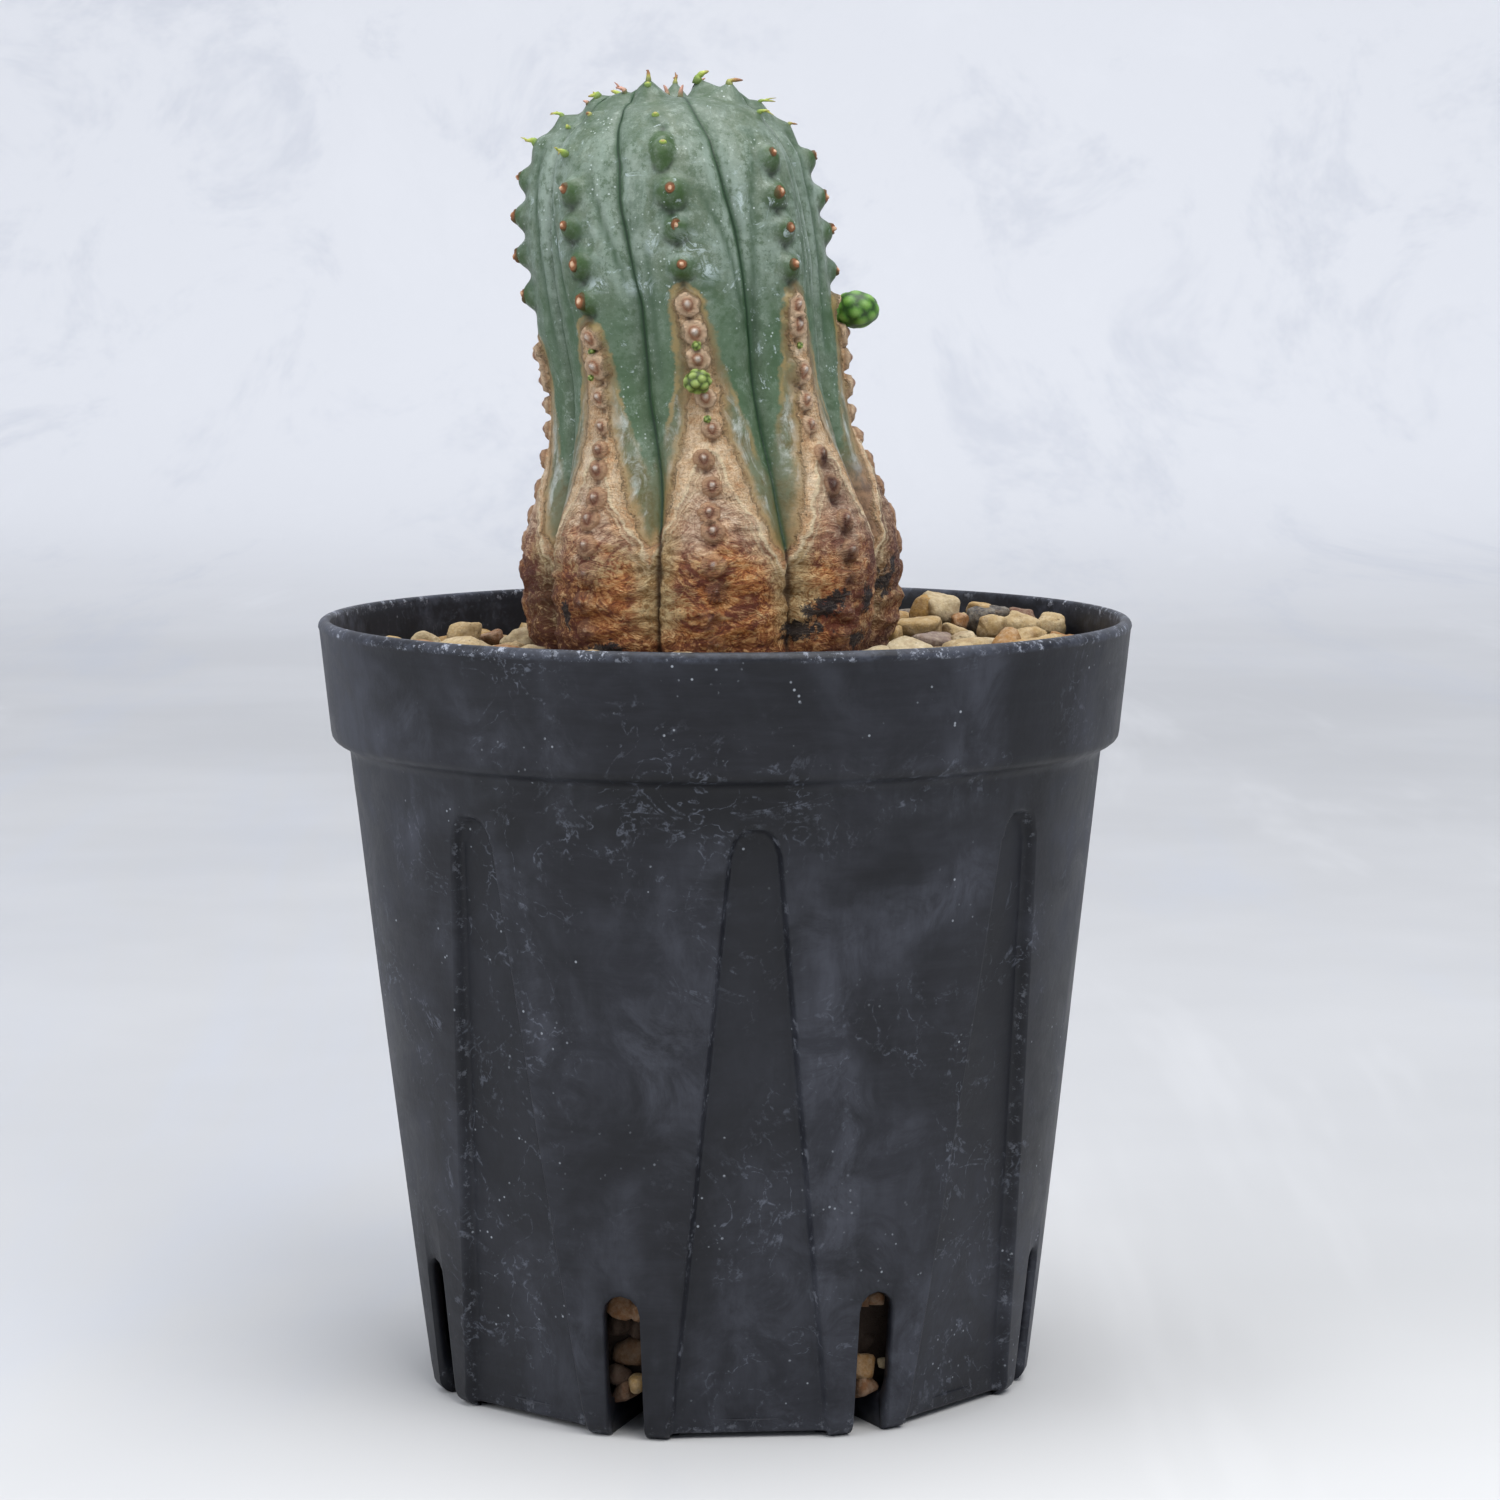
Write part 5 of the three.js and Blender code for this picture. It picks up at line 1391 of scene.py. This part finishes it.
def build_offsets():
    green = growth_material(
        "offset_green", 0.42, 0.7, (0.0, (0.018, 0.06, 0.008)), (0.3, (0.055, 0.155, 0.018)),
        (0.65, (0.115, 0.27, 0.040)), (1.0, (0.22, 0.40, 0.09)))
    pale = growth_material(
        "bud_green", 0.42, 0.5, (0.0, (0.05, 0.075, 0.012)), (0.4, (0.15, 0.22, 0.04)),
        (1.0, (0.33, 0.42, 0.12)))
    build_offset("offset_right", (2.12, 1.85, 1.72), 26, 5, 0.25, green)
    build_offset("offset_front", (1.2, 1.05, 1.05), 20, 6, 0.9, pale)
    parts = []
    for rib, z, radius in BUDS:
        point, normal = skin.spot(skin.arc_at(z=z), azimuth_of(crest_place(rib, z), z))
        parts.append(knobbly_ball(point + normal * 0.35 * radius, (radius,) * 3, 3, 9, int(z * 10)))
    merged_piece("buds", parts, pale, "offset_green")


# ---- The bed of grains ----

# Grains that the photo shows: middle x, y, z, half sizes, turn in degrees, tone and seed
SEEN_GRAINS = [
    (20.2, 13.0, 70.1, 1.75, 1.8, 1.9, 20, 0.06, 1), (18.6, 12.6, 70.0, 0.85, 1.3, 1.75, 70, 0.42, 2),
    (18.2, 9.6, 68.5, 2.3, 2.0, 1.25, -8, 0.26, 3), (21.7, 8.2, 68.0, 1.7, 1.6, 1.1, 15, 0.17, 4),
    (15.3, 5.6, 67.7, 1.3, 1.2, 1.4, -30, 0.34, 5), (22.2, 11.8, 69.1, 1.0, 0.9, 0.9, 25, 0.58, 6),
    (25.0, 15.0, 68.9, 2.2, 1.6, 1.45, 30, 1.0, 7), (24.4, 16.6, 69.7, 1.7, 1.3, 1.0, -35, 0.34, 8),
    (28.6, 17.6, 68.7, 1.7, 1.7, 1.35, 5, 0.74, 9), (25.1, 10.4, 68.5, 1.5, 1.3, 1.5, 50, 0.20, 10),
    (28.3, 13.4, 68.4, 2.0, 1.7, 1.3, -20, 0.18, 11), (30.9, 14.6, 68.4, 1.7, 1.5, 1.5, 0, 0.16, 12),
    (28.6, 9.3, 67.7, 2.0, 1.6, 1.2, 35, 0.26, 13), (19.4, 5.9, 67.5, 2.3, 1.8, 1.1, 10, 0.86, 14),
    (22.2, 5.5, 67.6, 1.7, 1.4, 1.3, -30, 0.05, 15), (13.9, 0.6, 67.2, 1.3, 1.2, 1.0, 0, 0.42, 16),
    (16.6, 3.0, 67.2, 1.4, 1.2, 0.9, 60, 0.24, 17), (-28.6, 12.0, 67.0, 1.6, 1.5, 1.2, 0, 0.08, 21),
    (-25.1, 12.2, 67.5, 2.0, 1.8, 1.8, 10, 0.22, 22), (-22.4, 15.4, 66.9, 1.4, 1.3, 1.1, 40, 0.66, 23),
    (-19.6, 10.6, 67.1, 1.7, 1.5, 1.6, -20, 0.08, 24), (-21.9, 8.7, 66.3, 1.2, 1.1, 0.9, 20, 0.05, 25),
    (-26.0, 8.6, 66.0, 1.6, 1.3, 0.8, -30, 0.12, 26), (-18.2, 13.6, 66.6, 1.5, 1.4, 1.1, 30, 0.30, 27),
]
SLIT_GRAINS = {  # the grains seen in the two front slits: height, across, how far in, size, tone, shade
    -1: [(11.8, -0.9, 0.0, 1.7, 0.6, 0.45), (11.5, 0.7, 0.1, 1.3, 0.6, 0.5), (9.6, -1.7, 1.0, 1.3, 0.66, 0.9),
         (9.4, 0.3, 1.2, 1.3, 0.66, 0.88), (7.0, -0.5, 0.3, 1.9, 0.58, 0.72),
         (5.0, -1.5, 0.2, 1.35, 0.7, 0.8), (4.7, 0.6, 0.0, 1.05, 0.38, 0.1),
         (3.8, -0.9, 0.1, 1.35, 0.66, 0.6)],
    1: [(11.9, -0.1, 0.3, 0.9, 0.62, 0.6), (11.9, 1.4, 0.3, 0.9, 0.62, 0.4), (9.4, 1.0, 2.6, 1.4, 0.7, 0.97),
        (7.6, 1.2, 2.2, 1.3, 0.7, 0.95), (5.5, 0.5, 0.1, 1.65, 0.52, 0.2), (5.7, 2.4, 0.4, 0.65, 0.05, 0.3),
        (3.8, 0.8, 0.0, 1.4, 0.64, 0.35)],
}
LOW_BED = (-24, 17, 10.5, 2.3)  # the bed sinks here: x, y, spread, depth
TONES = [0.04, 0.12, 0.18, 0.24, 0.3, 0.38, 0.46, 0.54, 0.66, 0.76, 0.86, 0.94]
TONE_ODDS = [0.12, 0.14, 0.13, 0.10, 0.09, 0.08, 0.08, 0.07, 0.06, 0.06, 0.04, 0.03]
SLIT_TONES = [0.34, 0.55, 0.58, 0.6, 0.62, 0.66, 0.7, 0.76, 0.95]
BED_INSIDE, BED_OUTSIDE = 16.4, 35.3  # the grains lie between these radii
GRAIN_ROUNDS = [  # closeness, how far sunk, smallest and largest size, level of the ball
    (0.86, 0.2, 2.0, 2.9, 3), (0.84, 0.2, 1.2, 1.9, 3), (0.72, 0.9, 1.1, 1.7, 2), (0.66, 1.2, 0.8, 1.2, 2),
]
TRIES = 2600  # places drawn in each round
FILL_INSET = 1.3  # the dark grit behind the grains stays this far inside the wall
FILL_SINK = 0.9  # and this far below the bed
FILL_SIDES = 96


def bed_height(x, y):
    heaps = sum(h * np.exp(-((x - hx) ** 2 + (y - hy) ** 2) / spread**2) for hx, hy, h, spread in HEAPS)
    x0, y0, spread, depth = LOW_BED
    return BED_Z + heaps - depth * np.exp(-((x - x0) ** 2 + (y - y0) ** 2) / spread**2)


def grain(middle, half, turn, tone, level, seed):
    """One broken grain: a ball pressed to a few planes with worn edges, then roughened."""
    rng = np.random.default_rng(seed)
    points, faces = BALLS[level]
    planes = rng.normal(0, 1, (rng.integers(9, 13), 3))
    planes = np.concatenate([planes, np.eye(3), -np.eye(3)])
    planes /= np.linalg.norm(planes, axis=1, keepdims=True)
    heights = rng.uniform(0.72, 1.02, len(planes))
    press = np.maximum(points @ planes.T, 0) / heights
    radius = np.sum(press**9, axis=1) ** (-1 / 9)
    shape = points * radius[:, None]
    rough = 1 + 0.17 * noise(points + seed, 0.75, seed, 2) + 0.06 * noise(points, 0.3, seed, 2)
    shape *= rough[:, None]
    shape = shape / np.abs(shape).max(axis=0) * np.array(half) * 0.96
    tilt = rng.uniform(-0.35, 0.35, 2)
    spin = Euler((tilt[0], tilt[1], math.radians(turn))).to_matrix()
    shape = shape @ np.array(spin).T
    under = smooth(-shape[:, 2] / half[2], -0.15, 0.75)
    return np.array(middle) + shape, faces, {"tone": tone, "shade": 0.75 * under}


def bed_grains():
    """The grains that the photo shows, then random ones wherever there is room."""
    rng = np.random.default_rng(43)
    parts = [grain((x, y, z), half, turn, tone, 4, seed) for x, y, z, *half, turn, tone, seed in SEEN_GRAINS]
    taken = [(x, y, max(a, b)) for x, y, _, a, b, *_ in SEEN_GRAINS]
    axis_x = look_up(STEM_AXIS, SOIL_Z)
    for closeness, sink, low, high, level in GRAIN_ROUNDS:
        for _ in range(TRIES):
            size = low + (high - low) * rng.random() ** 1.5
            distance, turn = math.sqrt(rng.random()) * BED_OUTSIDE, rng.uniform(0, 2 * math.pi)
            x, y = distance * math.cos(turn), distance * math.sin(turn)
            clear_of_wall = distance + 1.12 * size < BED_OUTSIDE
            clear_of_stem = math.hypot(x - axis_x, y - STEM_Y) > BED_INSIDE + 0.55 * size
            crowded = any(math.hypot(x - px, y - py) < closeness * (size + other) for px, py, other in taken)
            if clear_of_wall and clear_of_stem and not crowded:
                taken.append((x, y, size))
                half = size * rng.uniform([1.0, 0.8, 0.65], [1.15, 1.0, 0.95])
                z = bed_height(x, y) + 0.35 * size - sink + rng.uniform(-0.2, 0.5)
                tone = np.clip(rng.choice(TONES, p=TONE_ODDS) + rng.uniform(-0.03, 0.03), 0, 1)
                turn = rng.uniform(0, 360)
                parts.append(grain((x, y, z), half, turn, tone, level, int(rng.integers(1, 9999))))
    return parts


def sideways(azimuth, out, across, z):
    """The point at a distance out from the axis at an azimuth, and a distance across."""
    return (out * math.sin(azimuth) + across * math.cos(azimuth),
            -out * math.cos(azimuth) + across * math.sin(azimuth), z)


def seen_slit_grains(azimuth, seen):
    for z, across, inward, size, tone, shade in seen:
        out = cone(z) - WALL - GAP - 1.25 * size - inward
        half = size * np.array([1.0, 1.0, 0.85])
        points, faces, looks = grain(sideways(azimuth, out, across, z), half, 60 * z, tone, 3, int(100 * z))
        yield points, faces, {"tone": tone, "shade": np.maximum(shade, 0.6 * looks["shade"])}


def random_slit_grains(azimuth, rng):
    """A column of grains, two beside each other, up to the slit's top."""
    z = 4.6
    while z < SLIT_TOP_Z + 1:
        size = rng.uniform(1.25, 1.9)
        for side in (-1, 1):
            out = cone(z) - WALL - GAP - size * rng.uniform(1.1, 2.0)
            across = side * rng.uniform(0.7, 1.5)
            half = size * rng.uniform(0.75, 1.0, 3)
            tone = rng.choice(SLIT_TONES)
            middle = sideways(azimuth, out, across, z + rng.uniform(-0.4, 0.4))
            turn = rng.uniform(0, 360)
            points, faces, looks = grain(middle, half, turn, tone, 3, int(rng.integers(1, 9999)))
            yield points, faces, {"tone": tone, "shade": 0.62 + 0.38 * looks["shade"]}
        z += size * 1.45


def slit_grains():
    """The grains behind each slit: placed ones in the two that face the viewer, random ones in the rest."""
    rng = np.random.default_rng(47)
    parts = []
    for i in range(PANELS):
        azimuth = math.radians(FIRST_PANEL) + (2 * i + 1) * HALF_SECTOR
        if math.cos(azimuth) > 0.8:
            parts += seen_slit_grains(azimuth, SLIT_GRAINS[1 if math.sin(azimuth) > 0 else -1])
        else:
            parts += random_slit_grains(azimuth, rng)
    return parts


def build_gravel():
    material = grain_material()
    merged_piece("gravel", bed_grains(), material, "grains", ["gravel_bed"])
    merged_piece("slit_grains", slit_grains(), material, "grains")
    build_grit(material)


def build_grit(material):
    """Dark grit fills the pot behind the grains: a turned shape whose top follows the bed. Its darkness is
    painted shade in the gaps between the grains.
    """
    low, high = FLOOR_TOP_Z + GAP, BED_Z - FILL_SINK
    inset = WALL + FILL_INSET
    rows = [(0.4, low + DOME_RISE), (DOME_TOP, low + DOME_RISE), (DOME_FOOT, low), (22, low)]
    rows += [(PANEL_DISTANCE + PANEL_SLOPE * z - inset, z) for z in np.linspace(low, 57, 22)]
    rows += [(WALL_TOP_RADIUS - inset, 59)]
    rows += [(BAND_FOOT_RADIUS - inset, z) for z in (61.5, high - 0.5)]
    rows += [(radius, high) for radius in (34, 30, 24, 17, 10, 0.4)]
    turns = np.arange(FILL_SIDES) * 2 * np.pi / FILL_SIDES
    points = np.array([(r * math.sin(a), -r * math.cos(a), z) for r, z in rows for a in turns])
    top = points[:, 2] > high - 0.1
    points[top, 2] = bed_height(points[top, 0], points[top, 1]) - FILL_SINK + 0.3 * noise(points[top], 2.2, 3)
    faces = grid_faces(len(rows), FILL_SIDES)
    faces += [tuple(range(FILL_SIDES))[::-1], tuple(range(len(points) - FILL_SIDES, len(points)))]
    # Painted shade: the grit stands for the dark gaps between grains, darker still below the band's foot, where
    # the slits show it
    shade = np.where(points[:, 2] < BAND_FOOT_Z, 0.95, 0.75)
    piece("grit", points, faces, material, "grains", tone=np.full(len(points), 0.72), shade=shade)


# ---- Floor, light and camera, in metres ----

FLOOR_REACH, FLOOR_BACK, FLOOR_BEND, FLOOR_TOP = 3.0, 1.1, 0.5, 2.2  # half width, flat part, bend, height
CAMERA_PLACE = (0.002255, -0.4104, 0.10593)
CAMERA_DOWN = 6.641  # degrees below level
LENS, SENSOR = 106.87, 36  # mm


def add_to_scene(name, data):
    obj = bpy.data.objects.new(name, data)
    bpy.context.scene.collection.objects.link(obj)
    return obj


def floor_material():
    """Grey paper, darker in front, pale at the back, with faint bluish smudges; its greys from front to back
    are painted light and shade.
    """
    s = Shader("floor_paper")
    away, sideways = s.axis("Y"), s.axis("X")
    # Painted light and shade: the paper's grey changes from front to back in place of the light's fall-off
    near_grey = s.mix(s.ramp(away, -0.15, 0.15), (0.64, 0.64, 0.63), (0.43, 0.435, 0.445))
    paper = Paint(s, near_grey)
    paper.coat((0.83, 0.835, 0.85), (away, 0.45, 1.35))
    paper.coat((0.80, 0.805, 0.82), (s.noise(160, 4, 0.6), 0.35, 0.65), 0.12)
    # The shade beside the pot on both sides
    in_front = s.ramp(away, 0.3, 0.1)
    paper.coat((0.40, 0.41, 0.43), (sideways, -0.01, -0.06), in_front, 0.42)
    paper.coat((0.40, 0.41, 0.42), (sideways, 0.01, 0.06), in_front, 0.25)
    smudge = s.noise(70, 5, 0.7, 0.4, stretch=(1.0, 0.16, 1.0))
    paper.coat((0.42, 0.46, 0.55), (smudge, 0.5, 0.7, 0.0, 0.24))
    paper.coat((0.93, 0.93, 0.94), (smudge, 0.46, 0.3, 0.0, 0.12))
    return s.finish(paper.colour, 0.85)


def build_stage():
    """A sheet of paper that bends up behind the pot."""
    bend = [(FLOOR_BACK + FLOOR_BEND * math.sin(a), FLOOR_BEND - FLOOR_BEND * math.cos(a))
            for a in np.linspace(0, math.pi / 2, 24)]
    profile = [(-FLOOR_REACH, 0.0)] + bend + [(FLOOR_BACK + FLOOR_BEND, FLOOR_TOP)]
    points = [(x, y, z) for y, z in profile for x in (-FLOOR_REACH, FLOOR_REACH)]
    faces = [(2 * i, 2 * i + 1, 2 * i + 3, 2 * i + 2) for i in range(len(profile) - 1)]
    floor = bpy.data.meshes.new("floor")
    floor.from_pydata(points, [], faces)
    floor.shade_smooth()
    floor.materials.append(floor_material())
    add_to_scene("floor", floor)


def add_light(name, place, size, power, colour=(1, 1, 1), aim=(0, 0, 0.06)):
    light = bpy.data.lights.new(name, "AREA")
    light.shape = "RECTANGLE"
    light.size, light.size_y = size
    light.energy = power
    light.color = colour
    obj = add_to_scene(name, light)
    obj.location = place
    x, y, z = np.array(aim) - np.array(place)
    tilt = math.acos(-z / math.hypot(x, y, z))
    obj.rotation_euler = Euler((tilt, 0, math.atan2(y, x) - math.pi / 2))


def build_light():
    world = bpy.data.worlds.new("studio")
    world.use_nodes = True
    background = world.node_tree.nodes["Background"]
    background.inputs["Color"].default_value = (0.80, 0.86, 1.0, 1)
    background.inputs["Strength"].default_value = 0.54
    bpy.context.scene.world = world
    bpy.context.scene.view_settings.view_transform = "Standard"
    add_light("key", (0.3, -0.45, 0.8), (0.6, 0.6), 5.6, (1.0, 0.98, 0.95))
    add_light("fill", (-0.7, -0.35, 0.45), (0.8, 0.8), 3.6)
    add_light("top", (0.0, 0.05, 0.9), (0.6, 0.6), 4.2)
    add_light("wall", (0.2, 0.5, 1.9), (2.0, 0.4), 12.0, aim=(0.2, 1.6, 0.9))


def build_camera():
    camera = bpy.data.cameras.new("camera")
    camera.sensor_width = SENSOR
    camera.lens = LENS
    camera.clip_start = 0.01
    obj = add_to_scene("camera", camera)
    obj.location = CAMERA_PLACE
    obj.rotation_euler = (math.radians(90 - CAMERA_DOWN), 0, 0)
    bpy.context.scene.camera = obj


build_pot()
build_gravel()
build_stem()
build_nubs()
build_stalks()
build_offsets()
build_stage()
build_light()
build_camera()
